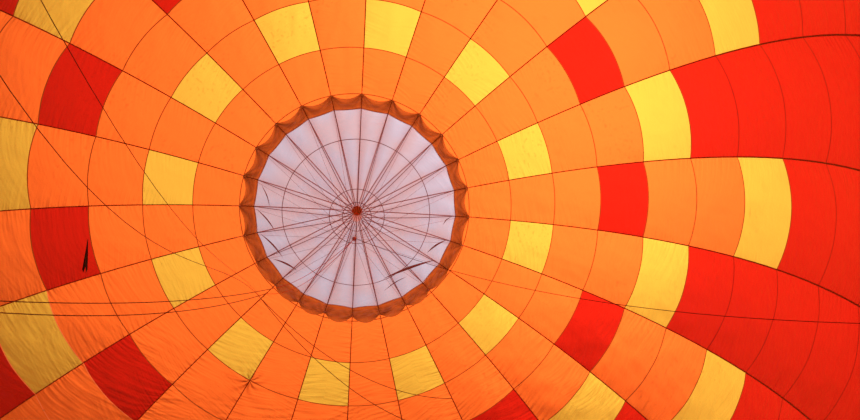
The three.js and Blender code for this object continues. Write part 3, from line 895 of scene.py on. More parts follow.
def tube(bm, path, radius, sides=12):
    """A round bar along a path, with rounded ends. Its UV map runs round and along it, in metres"""
    layer = bm.loops.layers.uv.get("lay") or bm.loops.layers.uv.new("lay")
    rings, reaches = [], [0.0]
    for spot, ahead in zip(path, path[1:]):
        reaches.append(reaches[-1] + (ahead - spot).length)
    count = len(path)
    for n, spot in enumerate(path):
        ahead = (path[min(n + 1, count - 1)] - path[max(n - 1, 0)]).normalized()
        guide = Vector((0, 1, 0)) if abs(ahead.y) < 0.9 else Vector((1, 0, 0))
        first = ahead.cross(guide).normalized()
        second = ahead.cross(first)
        rings.append([bm.verts.new(spot + (first * math.cos(math.tau * i / sides)
                                           + second * math.sin(math.tau * i / sides)) * radius)
                      for i in range(sides)])
    for n, (low, high) in enumerate(zip(rings, rings[1:])):
        for i in range(sides):
            face = bm.faces.new((low[i], low[i - 1], high[i - 1], high[i]))
            corners = ((i, n), (i - 1, n), (i - 1, n + 1), (i, n + 1))
            for loop, (around, place) in zip(face.loops, corners):
                loop[layer].uv = (around / sides, reaches[place])
    ends = [bm.faces.new(rings[0]), bm.faces.new(rings[-1])]
    bmesh.ops.inset_individual(bm, faces=ends, thickness=radius * 0.3, depth=radius * 0.2)


# %% Flying wires
WIRE_RADIUS = 0.003
WIRE_SPACING, WIRE_ROWS, WIRE_STEPS = 0.0034, 0.006, 8
COLLAR_LENGTH, COLLAR_HOLD = 0.050, 0.020
THIMBLE_BORE, THIMBLE_REACH, THIMBLE_HALF, THIMBLE_RISE = 0.010, 0.018, 0.006, 0.0034
GROOVE_DEPTH, GROOVE_HALF, LIP = 0.003, 0.001, 0.0015
HEM_CLEAR, HEM_EYE, EYE_RADIUS, EYE_WIRE = 0.001, 0.010, 0.009, 0.002
LOW_SWAGE, HIGH_SWAGE = 0.030, 0.062
SWAGE = ((0, 0), (0.0042, 0.001), (0.0052, 0.004), (0.0052, 0.044), (0.0042, 0.048), (0, 0.049))
COLLAR = ((0, -0.004), (0.0095, -0.002), (0.0115, 0.004), (0.0130, COLLAR_LENGTH - 0.005),
          (0.0115, COLLAR_LENGTH - 0.001), (0, COLLAR_LENGTH))
THIMBLE = ((THIMBLE_BORE, -THIMBLE_HALF), (THIMBLE_REACH, -THIMBLE_HALF),
           (THIMBLE_REACH, LIP - THIMBLE_HALF), (THIMBLE_REACH - GROOVE_DEPTH, -GROOVE_HALF),
           (THIMBLE_REACH - GROOVE_DEPTH, GROOVE_HALF), (THIMBLE_REACH, THIMBLE_HALF - LIP),
           (THIMBLE_REACH, THIMBLE_HALF), (THIMBLE_BORE, THIMBLE_HALF),
           (THIMBLE_BORE, -THIMBLE_HALF))


def flying_wires(n):
    eye = karabiner_top(n) + UP * THIMBLE_RISE
    crest = eye + UP * ((THIMBLE_BORE + THIMBLE_REACH) / 2)
    bm = bmesh.new()
    lathe(bm, THIMBLE, eye, (1, 0, 0), 36)
    hem_spots = [wall(MOUTH_REACH, (n * WIRE_GROUP + i) * GORE_ANGLE, -WIRE_RADIUS) - UP * HEM_CLEAR
                 for i in range(WIRE_GROUP)]
    gather = (sum(hem_spots, Vector()) / WIRE_GROUP - crest).normalized()
    sideways = (hem_spots[-1] - hem_spots[0]).normalized()
    outward = sideways.cross(gather)
    for i, hem in enumerate(hem_spots):
        lay = sideways * (i - (WIRE_GROUP - 1) / 2) * WIRE_SPACING
        lay += outward * (i % 2 - 0.5) * WIRE_ROWS
        leaving = crest + gather * COLLAR_LENGTH + lay
        along = (hem - leaving).normalized()
        free = [leaving.lerp(hem, t / WIRE_STEPS) for t in range(WIRE_STEPS + 1)]
        tube(bm, [leaving - gather * COLLAR_HOLD, *free], WIRE_RADIUS, 10)
        lathe(bm, SWAGE, hem - along * HIGH_SWAGE, along, 14)
        lathe(bm, SWAGE, leaving + along * LOW_SWAGE, along, 14)
        ring(bm, hem - along * HEM_EYE, UP.cross(along), EYE_RADIUS, EYE_WIRE, 16)
    lathe(bm, COLLAR, crest, gather, 28)
    bmesh.ops.recalc_face_normals(bm, faces=bm.faces)
    place_piece(f"wire_bundle_{n + 1}", bm, [WIRE_STEEL], "envelope",
                [f"flying_wires_{n + 1}"])
    return (hem_spots[0] - crest).length


wire_lengths = [flying_wires(n) for n in range(GORES // WIRE_GROUP)]
print("outer wires of the bundles, metres:", [round(length, 2) for length in wire_lengths])

# %% [markdown]
# ## Karabiners
# A karabiner is one forged bar bent to an oval with a gap, and a small pin at its foot carries the
# gate that closes the gap. It could be a bevelled curve, but a tube along straight parts and corner
# arcs puts the ends of the gap just where the gate needs them.

# %% Karabiners
KARABINER_HALF_WIDTH, KARABINER_HALF_HEIGHT, KARABINER_CORNER = 0.029, 0.054, 0.020
BAR_RADIUS, CORNER_STEPS = 0.006, 12
BAR_END, BAR_NEXT = 0.030, 0.032
PIN_DROP = 0.034
PIN = ((0, -0.0064), (0.0026, -0.0064), (0.0030, -0.0058), (0.0030, 0.0058), (0.0026, 0.0064),
       (0, 0.0064))


def karabiner_path():
    """From the gap down, round the four corners and back to the gap from above"""
    w, h, c = KARABINER_HALF_WIDTH, KARABINER_HALF_HEIGHT, KARABINER_CORNER
    spots = [Vector((w, 0, z)) for z in (-BAR_END, -BAR_NEXT, c - h)]
    corners = ((w - c, c - h), (c - w, c - h), (c - w, h - c), (w - c, h - c))
    for turn, (cx, cz) in enumerate(corners):
        for step in range(CORNER_STEPS + 1):
            angle = (-turn - step / CORNER_STEPS) * math.pi / 2
            spots.append(Vector((cx + c * math.cos(angle), 0, cz + c * math.sin(angle))))
    spots += [Vector((w, 0, z)) for z in (BAR_NEXT, BAR_END)]
    return [a for a, b in zip(spots, spots[1:]) if (a - b).length > 1e-5] + spots[-1:]


def karabiner(n):
    middle = karabiner_top(n) - UP * KARABINER_HALF_HEIGHT
    bm = bmesh.new()
    tube(bm, [spot + middle for spot in karabiner_path()], BAR_RADIUS, 20)
    lathe(bm, PIN, middle + Vector((KARABINER_HALF_WIDTH, 0, -PIN_DROP)), (0, 1, 0), 20)
    bmesh.ops.recalc_face_normals(bm, faces=bm.faces)
    place_piece(f"bent_karabiner_{n + 1}", bm, [STEEL], "envelope", [f"karabiner_{n + 1}"])


for n in range(GORES // WIRE_GROUP):
    karabiner(n)
print("points along a karabiner's bar:", len(karabiner_path()))

# %% [markdown]
# The gate is a turned rod with a sleeve that screws over the bar's end to lock it. A true knurl
# would take a boolean for each tooth. Every second strip of the sleeve is pressed in instead, which
# at this size looks the same and stays clean.

# %% Gates
GATE_HALF, GATE_RADIUS = 0.0297, 0.005
SLEEVE_RADIUS, SLEEVE_TOP, SLEEVE_BOTTOM = 0.0085, 0.0135, -0.016
EDGE_BREAK, COLLAR_END, BELT_END = 0.001, 0.005, 0.0055
BELT_RADIUS = SLEEVE_RADIUS - 0.0002
KNURL_STEPS, KNURL_SHARE = 48, 0.07
FOOT_STEPS = 6


def gate_profile():
    """From the rounded foot up over the sleeve to the flat top, as (radius, height)"""
    angles = [math.pi / 2 * step / FOOT_STEPS for step in range(FOOT_STEPS + 1)]
    foot = [(GATE_RADIUS * math.sin(angle), -GATE_HALF + GATE_RADIUS * (1 - math.cos(angle)))
            for angle in angles]
    return foot + [
        (GATE_RADIUS, SLEEVE_BOTTOM), (SLEEVE_RADIUS - EDGE_BREAK, SLEEVE_BOTTOM),
        (SLEEVE_RADIUS, SLEEVE_BOTTOM + EDGE_BREAK), (SLEEVE_RADIUS, SLEEVE_BOTTOM + COLLAR_END),
        (BELT_RADIUS, SLEEVE_BOTTOM + BELT_END), (BELT_RADIUS, SLEEVE_TOP - BELT_END),
        (SLEEVE_RADIUS, SLEEVE_TOP - COLLAR_END), (SLEEVE_RADIUS, SLEEVE_TOP - EDGE_BREAK),
        (SLEEVE_RADIUS - EDGE_BREAK, SLEEVE_TOP), (GATE_RADIUS, SLEEVE_TOP),
        (GATE_RADIUS, GATE_HALF - EDGE_BREAK), (GATE_RADIUS - EDGE_BREAK, GATE_HALF),
        (0, GATE_HALF),
    ]


def gate(n):
    middle = karabiner_top(n) - UP * KARABINER_HALF_HEIGHT
    middle.x += KARABINER_HALF_WIDTH
    bm = bmesh.new()
    lathe(bm, gate_profile(), middle, (0, 0, 1), KNURL_STEPS)
    for vert in bm.verts:
        offset = vert.co - middle
        if abs(offset.xy.length - BELT_RADIUS) < 1e-5:
            groove = round(math.atan2(offset.y, offset.x) / math.tau * KNURL_STEPS) % 2
            vert.co.xy -= offset.xy * KNURL_SHARE * groove
    bmesh.ops.recalc_face_normals(bm, faces=bm.faces)
    place_piece(f"screw_gate_{n + 1}", bm, [ALLOY], f"gate_{n + 1}",
                [f"karabiner_gate_{n + 1}"])


for n in range(GORES // WIRE_GROUP):
    gate(n)
print("points on a gate's profile:", len(gate_profile()))

# %% [markdown]
# ## The parachute
# The valve is a round panel of paler cloth a little larger than the opening. Its own 24 seams and
# three ring seams meet a hand's breadth from the crown, because it never sits quite central, so
# they run beside the crown tapes and not under them. Its rim laps the gores and scallops back
# between the lines that hold it. A cloth simulation could press it against the tapes, but it rests
# there at every frame, so each place is worked out from how far along, across and down the lap it
# is.

# %% Parachute cloth
VALVE_DEPTH = -0.005
VALVE_SWELL = 0.035
VALVE_OFF_CENTRE = 0.21
VALVE_CENTRE = 0.03
VALVE_RING_SEAMS = (0.145, 0.275, 0.735)
VALVE_CELLS_ACROSS, VALVE_CELLS_OUT = 20, 24
VALVE_SEAM_WIDTH = 0.022
LAP_CELLS = 12
LAP = VALVE_REACH - OPENING_REACH


def valve_rings():
    """Shares of the way from the centre to the opening's edge, then over the lap, seams marked"""
    band = VALVE_SEAM_WIDTH / 2 / OPENING_REACH
    rings, marks = [], []
    start = 0.0
    for seam in (*VALVE_RING_SEAMS, 1.0):
        last = seam == 1.0
        stop = seam if last else seam - band
        cells = max(3, round((stop - start) * VALVE_CELLS_OUT))
        for n in range(cells):
            rings.append(start + (stop - start) * n / cells)
            marks.append(False)
        if not last:
            rings.append(stop)
            marks.append(True)
        start = seam + band
    return rings, marks


VALVE_RINGS, VALVE_MARKS = valve_rings()
print("rings of cells in the parachute:", len(VALVE_RINGS) + LAP_CELLS)

# %% Rim and lap
RIM_PULL, SCALLOP, LOBE = 0.20, 0.38, 0.82
EDGE_SAG, ARCH_SAG, LOW_ARCH_SAG, LOW_HANG = 0.014, 0.085, 0.10, 0.06
RIPPLE, RIPPLES = 0.012, 7.0
CREASE_DEPTH, CREASE_REACH, CREASE_WIDTH = 0.035, 0.42, 0.20
CREASES, FIRST_CREASE, CREASE_STEP, CREASE_STRAY = 3, 0.15, 0.45, 0.12


def valve_dip(azimuth):
    """How far the rim scallops back between two lines; it hangs out in lobes on the low side"""
    return SCALLOP - LOBE * low_side(azimuth) ** 0.9


def creases(u, lap, middle):
    """Sharp folds that fan out over the lap from both lines of a panel"""
    draw = random.Random(round(middle * 100))
    depth = 0.0
    for side in (-1, 1):
        beside = (1 - side * u) * GORE_ANGLE / 2 * at(OPENING_REACH)[0]
        inward = (1 - lap) * LAP + 0.01
        far = math.hypot(beside, inward)
        heading = math.atan2(beside, inward)
        for n in range(CREASES):
            fold = FIRST_CREASE + CREASE_STEP * n + draw.uniform(-CREASE_STRAY, CREASE_STRAY)
            away = (heading - fold) / CREASE_WIDTH
            depth += CREASE_DEPTH * math.exp(-away * away - far / CREASE_REACH)
    return depth * min(lap * 4, 1.0)


def valve_lap(u, azimuth, middle, lap):
    """The part below the gores: lap runs from the opening's edge to the rim"""
    low = low_side(azimuth)
    arch = 1 - u * u
    edge = OPENING_REACH - draw_in(OPENING_REACH, u)
    rim = VALVE_REACH - RIM_PULL * low - LAP * valve_dip(middle) * arch
    hump = arch * math.sin(math.pi * min(lap * 0.7, 1.0))
    sag = EDGE_SAG + (ARCH_SAG + LOW_ARCH_SAG * low) * hump
    sag += RIPPLE * math.sin(u * RIPPLES + middle * 5.0) * arch + LOW_HANG * low * lap
    rise = VALVE_DEPTH - sag * lap - creases(u, lap, middle)
    return wall(edge + (rim - edge) * lap, azimuth, rise)


def valve_point(share, u, azimuth, middle, lap):
    """share runs to the opening's edge, lap from there to the rim, u across a panel"""
    if lap > 0:
        return valve_lap(u, azimuth, middle, lap)
    s = OPENING_REACH * share - draw_in(OPENING_REACH, u) * share**12
    radius = at(s)[0]
    spot = Vector((math.cos(azimuth), math.sin(azimuth), 0)) * radius
    spot += Vector((math.cos(LEAN), math.sin(LEAN), 0)) * VALVE_OFF_CENTRE * (1 - share * share)
    reach = min(spot.length / radius * s, OPENING_REACH) if radius else VALVE_OFF_CENTRE
    between = 2 * ((math.atan2(spot.y, spot.x) / GORE_ANGLE) % 1.0) - 1
    swell = VALVE_SWELL * (1 - between * between) ** 2 * share * (1 - share**8)
    return Vector((spot.x, spot.y, at(reach)[1] + VALVE_DEPTH + swell))


rim_low = valve_lap(0.0, LEAN, LEAN, 1.0)
print("lowest lobe of the rim, metres from the axis:", round(rim_low.xy.length, 3))

# %% [markdown]
# Where the rim sags on the low side it drags the panel into long folds. Each is a pleat of the same
# cloth, lens shaped, that hangs below the panel between two points given in reach and azimuth. Its
# finish is darker than the panel's, painted shade of the fold. The panel could be creased there, but
# a pleat casts the fold's sharp shadow with far fewer cells.

# %% Pleats
PLEATS = (
    ((3.17, 208.2), (2.80, 194.4), 0.03),
    ((3.22, 193.7), (2.73, 177.8), 0.04),
    ((3.21, 179.3), (2.87, 159.5), 0.05),
    ((3.16, 162.5), (2.79, 146.8), 0.06),
    ((2.46, 81.6), (3.11, 44.1), 0.09),
    ((2.74, 43.4), (3.16, 29.9), 0.06),
    ((2.91, 21.5), (3.16, 15.5), 0.03),
    ((2.87, 84.2), (2.79, 64.9), 0.03),
)
VALVE_FINISHES = (VALVE, VALVE_SEAM, VALVE_FOLD_SHADE, VALVE_LAP, VALVE_PATCH)
PANEL_TONE, SEAM_TONE, SHADED_FOLD_TONE, LAP_TONE, PATCH_TONE = range(5)
PLEAT_CELLS, PLEAT_COLUMNS = 20, 4
PLEAT_DRIFT, PLEAT_CLEAR = 0.05, 0.012


def add_pleat(bm, start, end, width):
    ends = [wall(s, math.radians(degrees), -0.02) for s, degrees in (start, end)]
    along = (ends[1] - ends[0]).normalized()
    beside = along.cross(UP).normalized()

    def point(i, j):
        t, side = j / PLEAT_CELLS, i / PLEAT_COLUMNS - 0.5
        belly = math.sin(math.pi * t)
        spot = ends[0].lerp(ends[1], t) + beside * (side * width * belly + PLEAT_DRIFT * belly)
        return spot - UP * (PLEAT_CLEAR + width * 0.8 * belly * (1 - 4 * side * side))

    def lie(i, j):
        return (i * width / PLEAT_COLUMNS, j * 0.05)

    # Each pleat takes the darker fold finish, painted shade.
    lay_grid(bm, PLEAT_COLUMNS, PLEAT_CELLS, point, lie, lambda i, j: SHADED_FOLD_TONE)


print("pleats:", len(PLEATS))

# %% Panel
# FOLD_SHADE scales the crease depths into the fold mask, which the cloth finish turns into painted shade.
FOLD_SHADE = 45.0
LAP_SLACK, PANEL_SLACK = 1.2, 0.10
HALF_PANEL, LAP_STEP = 0.43, 0.06


def valve_cloth():
    rings = len(VALVE_RINGS)
    columns = VALVE_CELLS_ACROSS + 2
    bm = bmesh.new()
    for k in range(GORES):
        middle = (k + 0.5) * GORE_ANGLE

        def across(i, j):
            share = VALVE_RINGS[j] if j < rings else 1.0
            half = max(at(OPENING_REACH * share)[0] * GORE_ANGLE / 2, 1e-4)
            aside = spread(half, VALVE_SEAM_WIDTH / 2, VALVE_CELLS_ACROSS)[columns - i]
            return share, aside / half, aside

        def point(i, j, middle=middle):
            share, u, aside = across(i, j)
            lap = max(0, j - rings) / LAP_CELLS
            return valve_point(share, u, middle + u * GORE_ANGLE / 2, middle, lap)

        def lie(i, j, k=k):
            share, u, aside = across(i, j)
            down = share * OPENING_REACH + max(0, j - rings) * LAP_STEP
            return (aside + GORE_SPACING * k, down)

        def tone(i, j):
            if j < rings and VALVE_RINGS[j] < VALVE_CENTRE:
                return PATCH_TONE
            if i in (0, columns - 1) or (j < rings and VALVE_MARKS[j]):
                return SEAM_TONE
            return LAP_TONE if j >= rings else PANEL_TONE

        def edge(i, j):
            share, u, aside = across(i, j)
            return (1 - abs(u)) * share * HALF_PANEL

        def slack(i, j):
            return LAP_SLACK if j > rings else PANEL_SLACK

        # The fold mask: painted shade along each crease of the lap.
        def fold(i, j, middle=middle):
            share, u, aside = across(i, j)
            return creases(u, max(0, j - rings) / LAP_CELLS, middle) * FOLD_SHADE

        lay_grid(bm, columns, rings + LAP_CELLS, point, lie, tone, edge, slack, fold)
    bmesh.ops.remove_doubles(bm, verts=bm.verts, dist=2e-4)
    for pleat in PLEATS:
        add_pleat(bm, *pleat)
    piece = place_piece("valve_cloth", bm, VALVE_FINISHES, "parachute",
                        ["parachute"])
    return piece


parachute = valve_cloth()
print("parachute faces:", len(parachute.data.polygons))

# %% [markdown]
# ## Lines
# The lines are braided cord, faded by the sun. As pieces of curve they couldn't bend across the
# joint when the valve opens, so each set of curves gets its round section and is then made into a
# mesh. The braid is a fine twist in the bump, because a true braid would be finer than a pixel.

# %% Line finish
TWIST_ACROSS, TWIST_UP, TWIST_DEPTH = 900.0, 700.0, 0.0006


def braid(name, colour, roughness=0.75):
    make = Finish(name)
    spot = make.node("ShaderNodeTexCoord", None, None, output=3)
    x, y, z = make.split(spot)
    twist = ((x + y) * TWIST_ACROSS + z * TWIST_UP).math("SINE")
    fade = make.noise(spot, 2.0, 3.0, 0.6)
    dark = tuple(channel * 0.6 for channel in colour)
    skin = make.node("ShaderNodeBsdfPrincipled", None, {
        "Base Color": make.blend(fade, (*colour, 1.0), (*dark, 1.0)),
        "Roughness": fade * 0.2 + (roughness - 0.1),
        "Normal": make.bump(twist, TWIST_DEPTH),
    })
    return make.done(skin)


SHROUD = braid("shroud_line", (0.34, 0.20, 0.19))
VALVE_LINE = braid("valve_line", (0.80, 0.05, 0.04))
GUY_LINE = braid("control_line", (0.16, 0.05, 0.03))
PALE_LINE = braid("centring_line", (0.95, 0.90, 0.86))
print("line finishes:", [finish.name for finish in (SHROUD, VALVE_LINE, GUY_LINE, PALE_LINE)])

# %% Line helpers


def lines(name, paths, radius, finish, body, sides=3, replaced=()):
    """One piece of round lines; each path is a list of points"""
    curve = bpy.data.curves.new(name, "CURVE")
    curve.dimensions = "3D"
    curve.bevel_depth = radius
    curve.bevel_resolution = sides - 1
    curve.use_fill_caps = True
    for path in paths:
        spline = curve.splines.new("POLY")
        spline.points.add(len(path) - 1)
        for point, spot in zip(spline.points, path):
            point.co = (*spot, 1.0)
    maker = bpy.data.objects.new(name + "_maker", curve)
    bpy.context.collection.objects.link(maker)
    bpy.context.view_layer.update()
    made = maker.evaluated_get(bpy.context.evaluated_depsgraph_get())
    mesh = bpy.data.meshes.new_from_object(made)
    bpy.data.objects.remove(maker)
    mesh.name = name
    mesh.materials.clear()
    print(name, "lines:", len(paths))
    return put_up(name, mesh, [finish], body, replaced)


def run(start, end, bow=0.0, belly=1.0, count=24, toward=PICTURE_DOWN):
    """Points from start to end that bow sideways, with the belly nearer the end as belly grows"""
    peak = (belly / (belly + 1)) ** belly / (belly + 1)
    spots = []
    for n in range(count + 1):
        t = n / count
        spots.append(start.lerp(end, t) + toward * (bow * t**belly * (1 - t) / peak))
    return spots


# %% [markdown]
# The shroud lines hold the parachute's rim: each is sewn along half of the lap and runs taut to a
# hub on the axis. The hub is a turned plate. An extruded circle with its edges bevelled gives that.

# %% Shroud lines
HUB_TOP = APEX - HUB_DROP
HUB_HEIGHT, HUB_RADIUS, HUB_BEVEL = 0.024, 0.045, 0.003
SHROUD_RADIUS, SHROUD_CLEAR = 0.003, 0.006
SEWN_AT = (0.97, 0.75, 0.55)
hub_spot = Vector((0, 0, HUB_TOP - HUB_HEIGHT / 2))
shroud_paths = []
for k in range(GORES):
    azimuth = k * GORE_ANGLE
    sewn = [valve_lap(1.0, azimuth, azimuth, lap) - UP * SHROUD_CLEAR for lap in SEWN_AT]
    rim = Vector((math.cos(azimuth), math.sin(azimuth), 0)) * HUB_RADIUS * 0.8
    shroud_paths.append(sewn + run(sewn[-1], hub_spot + rim, 0.0, 1.0, 6)[1:])
lines("shroud_line_set", shroud_paths, SHROUD_RADIUS, SHROUD, "parachute", 2,
      ["shroud_lines"])

# %% Hub
bm = bmesh.new()
bmesh.ops.create_circle(bm, segments=32, radius=HUB_RADIUS, cap_ends=True,
                        matrix=Matrix.Translation((0, 0, HUB_TOP - HUB_HEIGHT)))
raised = bmesh.ops.extrude_face_region(bm, geom=bm.faces[:])["geom"]
bmesh.ops.translate(bm, verts=[g for g in raised if isinstance(g, bmesh.types.BMVert)],
                    vec=(0, 0, HUB_HEIGHT))
bmesh.ops.bevel(bm, geom=bm.edges[:], offset=HUB_BEVEL, segments=2, profile=0.5, affect="EDGES",
                material=-1)
bmesh.ops.recalc_face_normals(bm, faces=bm.faces)
hub = place_piece("shroud_hub", bm, [STEEL], "parachute")
print("hub faces:", len(hub.data.polygons))

# %% [markdown]
# ## Control lines
# Dark lines cross the view from rings on one tape, bow a little under their own weight and end on
# other tapes. They are held taut, so they are rigging and not free cords: a simulated cord would
# only find the same bow. The bow is one smooth hump, with its belly where the photograph has it.

# %% Control lines
GUIDE_AZIMUTH, GUIDE_CLEAR, LINE_CLEAR = 150.0, 0.024, 0.03


def inside(s, degrees, clear=LINE_CLEAR):
    """A point inside the tape at that azimuth"""
    return wall(s, math.radians(degrees), -clear)


GUIDES = [inside(s, GUIDE_AZIMUTH, GUIDE_CLEAR) for s in (3.80, 4.02, 4.25)]
LEFT_END, HIGH_END, TOP_END, RIGHT_END = (16.5, 195), (17.0, 240), (20.5, 255), (17.0, 15)
NEAR_END, FAR_END = (7.0, 75), (8.25, 75)
# Name and radius, then for each line the ring it starts at, the reach and azimuth of its end, how
# far it bows and how late
STILL_LINES = (
    ("vent_lines", 0.010, ((0, LEFT_END, 0.37, 1.0), (1, LEFT_END, 0.56, 1.0))),
    ("high_line", 0.006, ((2, HIGH_END, 1.60, 2.0),)),
    ("top_line", 0.0035, ((2, TOP_END, 0.80, 2.0),)),
    ("control_lines", 0.010, ((2, FAR_END, 1.0, 1.0), (2, NEAR_END, 0.8, 1.0))),
)
for name, radius, runs in STILL_LINES:
    paths = [run(GUIDES[ring_at], inside(*end), bow, belly) for ring_at, end, bow, belly in runs]
    lines(name, paths, radius, GUY_LINE, "envelope")

# %% [markdown]
# The red valve line is made fast under the hub, passes under the pulley's sheave and runs up to the
# first ring at the rim. A straight line from hub to ring would be simpler, but it would cut through
# the pulley. The hub goes down with the valve and the ring doesn't, so the line is blended between
# the two bodies.

# %% Valve line
SHEAVE_DROP, SHEAVE_WRAP, WRAP_STEPS = 0.048, 0.0273, 12
VALVE_LINE_RADIUS, CROSSING_RADIUS = 0.006, 0.005
FAST_RISE, FAST_ASIDE = 0.047, 0.031


def level(degrees):
    """The level direction at an azimuth"""
    return Vector((math.cos(math.radians(degrees)), math.sin(math.radians(degrees)), 0))


sheave_spot = Vector((0, 0, HUB_TOP - HUB_HEIGHT - SHEAVE_DROP))
toward_guide = level(GUIDE_AZIMUTH)
climb = GUIDES[0] - sheave_spot
leaving = math.tau - math.atan2(climb.dot(toward_guide), climb.z)
around_sheave = []
for n in range(WRAP_STEPS + 1):
    angle = math.pi + (leaving - math.pi) * n / WRAP_STEPS
    outward = toward_guide * math.cos(angle) + UP * math.sin(angle)
    around_sheave.append(sheave_spot + outward * SHEAVE_WRAP)
made_fast = sheave_spot + UP * FAST_RISE - toward_guide * FAST_ASIDE
valve_paths = [
    [made_fast, *around_sheave, *run(around_sheave[-1], GUIDES[0], 0.20)[1:]],
    run(hub_spot + level(140.0) * HUB_RADIUS, GUIDES[1], 0.35),
]
valve_run = lines("valve_line", valve_paths, VALVE_LINE_RADIUS, VALVE_LINE, None)
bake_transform(valve_run, "parachute", "envelope", start=sheave_spot, end=GUIDES[0])
right_end = inside(*RIGHT_END)
crossing = [run(hub_spot + level(15.0) * HUB_RADIUS, right_end, 0.4)]
crossing_run = lines("crossing_line", crossing, CROSSING_RADIUS, GUY_LINE, None)
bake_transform(crossing_run, "parachute", "envelope", start=sheave_spot, end=right_end)
print("degrees of sheave under the valve line:", round(math.degrees(leaving) - 180))

# %% [markdown]
# Where a line meets the wall a steel ring guides it, and from there it runs down the tape to the
# mouth hem, where it can be reached. A ring is a small circle spun about an axis beside it, because
# a spun circle closes on itself without a seam.

# %% Guide rings and the runs to the hem
RING_CLEAR, RUN_STEPS = 0.022, 20
SMALL_RING, GUIDE_RING = (0.013, 0.003), (0.018, 0.004)
hem_runs = []
bm = bmesh.new()
for s, degrees in (LEFT_END, HIGH_END, TOP_END, RIGHT_END, FAR_END):
    length = MOUTH_REACH - LINE_CLEAR - s
    hem_runs.append([inside(s + length * n / RUN_STEPS, degrees) for n in range(RUN_STEPS + 1)])
    for place in (s, (s + MOUTH_REACH) / 2, MOUTH_REACH - HEM_WIDTH):
        ahead = inside(place + 0.1, degrees) - inside(place, degrees)
        ring(bm, inside(place, degrees, RING_CLEAR), ahead, *SMALL_RING)
for spot in GUIDES:
    ring(bm, spot, (0.5, 0.8, 0.3), *GUIDE_RING)
bmesh.ops.recalc_face_normals(bm, faces=bm.faces)
guide_rings = place_piece("guide_rings", bm, [STEEL], "envelope")
lines("hem_runs", hem_runs, 0.005, GUY_LINE, "envelope", 2)
print("guide ring faces:", len(guide_rings.data.polygons))

# %% [markdown]
# Short pale lines keep the rim centred in the opening. Each sags a little at rest. As the valve
# moves, its top rides on the valve and its foot stays on the envelope, so each is a blended piece
# of its own.

# %% Centring lines
TIE_RADIUS, TIE_SAG, TIE_STEPS = 0.008, 0.15, 10
TIE_LAP, TIE_DROP, TIE_REACH, TIE_CLEAR = 0.80, 0.016, 3.96, 0.012
for k in range(GORES):
    azimuth = k * GORE_ANGLE
    top = valve_lap(1.0, azimuth, azimuth, TIE_LAP) - UP * TIE_DROP
    low = wall(TIE_REACH, azimuth, -TIE_CLEAR)
    sagging = run(top, low, (low - top).length * TIE_SAG, 1.0, TIE_STEPS, -UP)
    tie = lines(f"centring_line_{k + 1:02d}", [sagging], TIE_RADIUS, PALE_LINE, None,
                2)
    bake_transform(tie, "parachute", "envelope", start=top, end=low)

# %% [markdown]
# ## The telltale
# A black telltale of light cloth is sewn by its tip to a gore. It shows which way the air moves. It
# could be simulated as a hanging strip, but in the photograph it lies nearly straight, so a grid
# that widens to a notched foot, with a small ruffle, is enough.

# %% Telltale
TELLTALE_ENDS = (inside(7.93, 187.9), inside(8.17, 181.8, 0.045))
TELLTALE_TOP, TELLTALE_WIDTH = 0.014, 0.125
TELLTALE_CELLS, TELLTALE_COLUMNS = 12, 4
RUFFLE, NOTCH = 0.02, (0, 0.10, -0.10, 0.10, 0)
fall = TELLTALE_ENDS[1] - TELLTALE_ENDS[0]
beside = fall.normalized().cross(Vector((-0.6, 0, 0.6)).normalized()).normalized()


def telltale_point(i, j):
    t = j / TELLTALE_CELLS
    width = TELLTALE_TOP + (TELLTALE_WIDTH - TELLTALE_TOP) * t
    ruffle = Vector((0.6, 0, -0.6)) * RUFFLE * math.sin(i * 1.9 + t * 4.0) * t
    notch = fall * (NOTCH[i] * t**6)
    aside = beside * (0.5 - i / TELLTALE_COLUMNS) * width
    return TELLTALE_ENDS[0] + fall * t + aside + ruffle + notch


bm = bmesh.new()
lay_grid(bm, TELLTALE_COLUMNS, TELLTALE_CELLS, telltale_point, lambda i, j: (i * 0.03, j * 0.06))
telltale = place_piece("telltale", bm, [TELLTALE], "envelope")
print("telltale length:", round(fall.length, 3))

# %% [markdown]
# ## Light
# Daylight has to come through the cloth, so the light stands outside: a soft sky, a large soft lamp
# low on the picture's right, which makes that side glow most, and a second from over the crown.
# Lamps inside would light the cloth's face and lose the glow.

# %% Sky and lamps
SKY = 0.38
LAMPS = (("right_lamp", 6.4, -16.0, 4.5), ("crown_lamp", 5.8, -77.0, 72.0))
LAMP_SPREAD = math.radians(25)

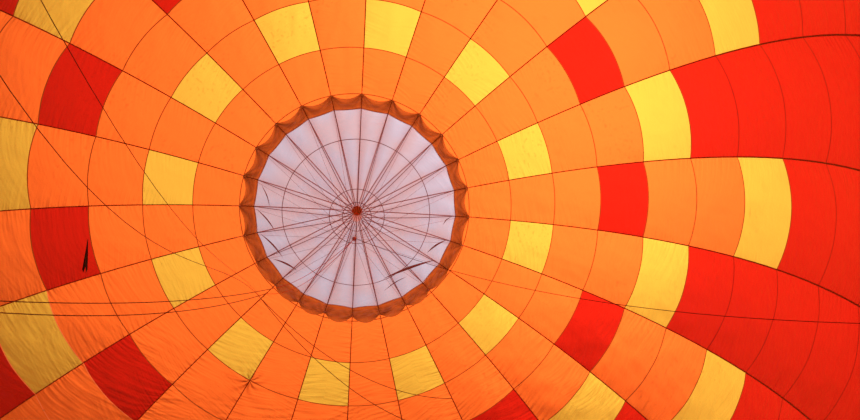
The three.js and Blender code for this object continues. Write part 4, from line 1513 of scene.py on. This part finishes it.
world = bpy.data.worlds.new("soft_sky")
world.use_nodes = True
backdrop = world.node_tree.nodes["Background"]
backdrop.inputs["Color"].default_value = (1.0, 0.99, 0.97, 1.0)
backdrop.inputs["Strength"].default_value = SKY
bpy.context.scene.world = world

for name, energy, azimuth, height in LAMPS:
    lamp_data = bpy.data.lights.new(name, "SUN")
    lamp_data.energy = energy
    lamp_data.angle = LAMP_SPREAD
    lamp_data.color = (1.0, 0.98, 0.94)
    lamp = bpy.data.objects.new(name, lamp_data)
    lift = math.radians(height)
    source = level(azimuth) * math.cos(lift) + UP * math.sin(lift)
    lamp.rotation_mode = "QUATERNION"
    lamp.rotation_quaternion = source.to_track_quat("Z", "Y")
    bpy.context.collection.objects.link(lamp)
print("lamps:", [lamp[0] for lamp in LAMPS])

# %% [markdown]
# The floor is plain and pale, and lies a standing height below the camera. It is a stage piece: it
# is lit and seen, but it is no part of the balloon.

# %% Floor
FLOOR_HEIGHT, FLOOR_HALF = -12.03, 160.0
make = Finish("pale_floor")
floor_spot = make.node("ShaderNodeTexCoord", None, None, output=3)
cloud = make.noise(floor_spot, 0.4, 3.0, 0.5)
bm = bmesh.new()
bmesh.ops.create_grid(bm, x_segments=4, y_segments=4, size=FLOOR_HALF,
                      matrix=Matrix.Translation((0, 0, FLOOR_HEIGHT)))
floor_mesh = bpy.data.meshes.new("floor")
bm.to_mesh(floor_mesh)
bm.free()
floor_mesh.materials.append(make.done(make.node("ShaderNodeBsdfPrincipled", None, {
    "Base Color": make.blend(cloud, (0.36, 0.36, 0.35, 1.0), (0.42, 0.42, 0.40, 1.0)),
    "Roughness": 0.85,
})))
floor = bpy.data.objects.new("floor", floor_mesh)
bpy.context.collection.objects.link(floor)
floor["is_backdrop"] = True
bpy.context.scene.view_settings.view_transform = "Standard"
print("camera above the floor, metres:", round(CAMERA_AT.z - FLOOR_HEIGHT, 2))

# %% [markdown]
# ## The measures
# The box of the dressed part is printed.

# %% Sizes, and the frame's last word
low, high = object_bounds()
print("visual box", [round(c, 3) for c in low], [round(c, 3) for c in high])
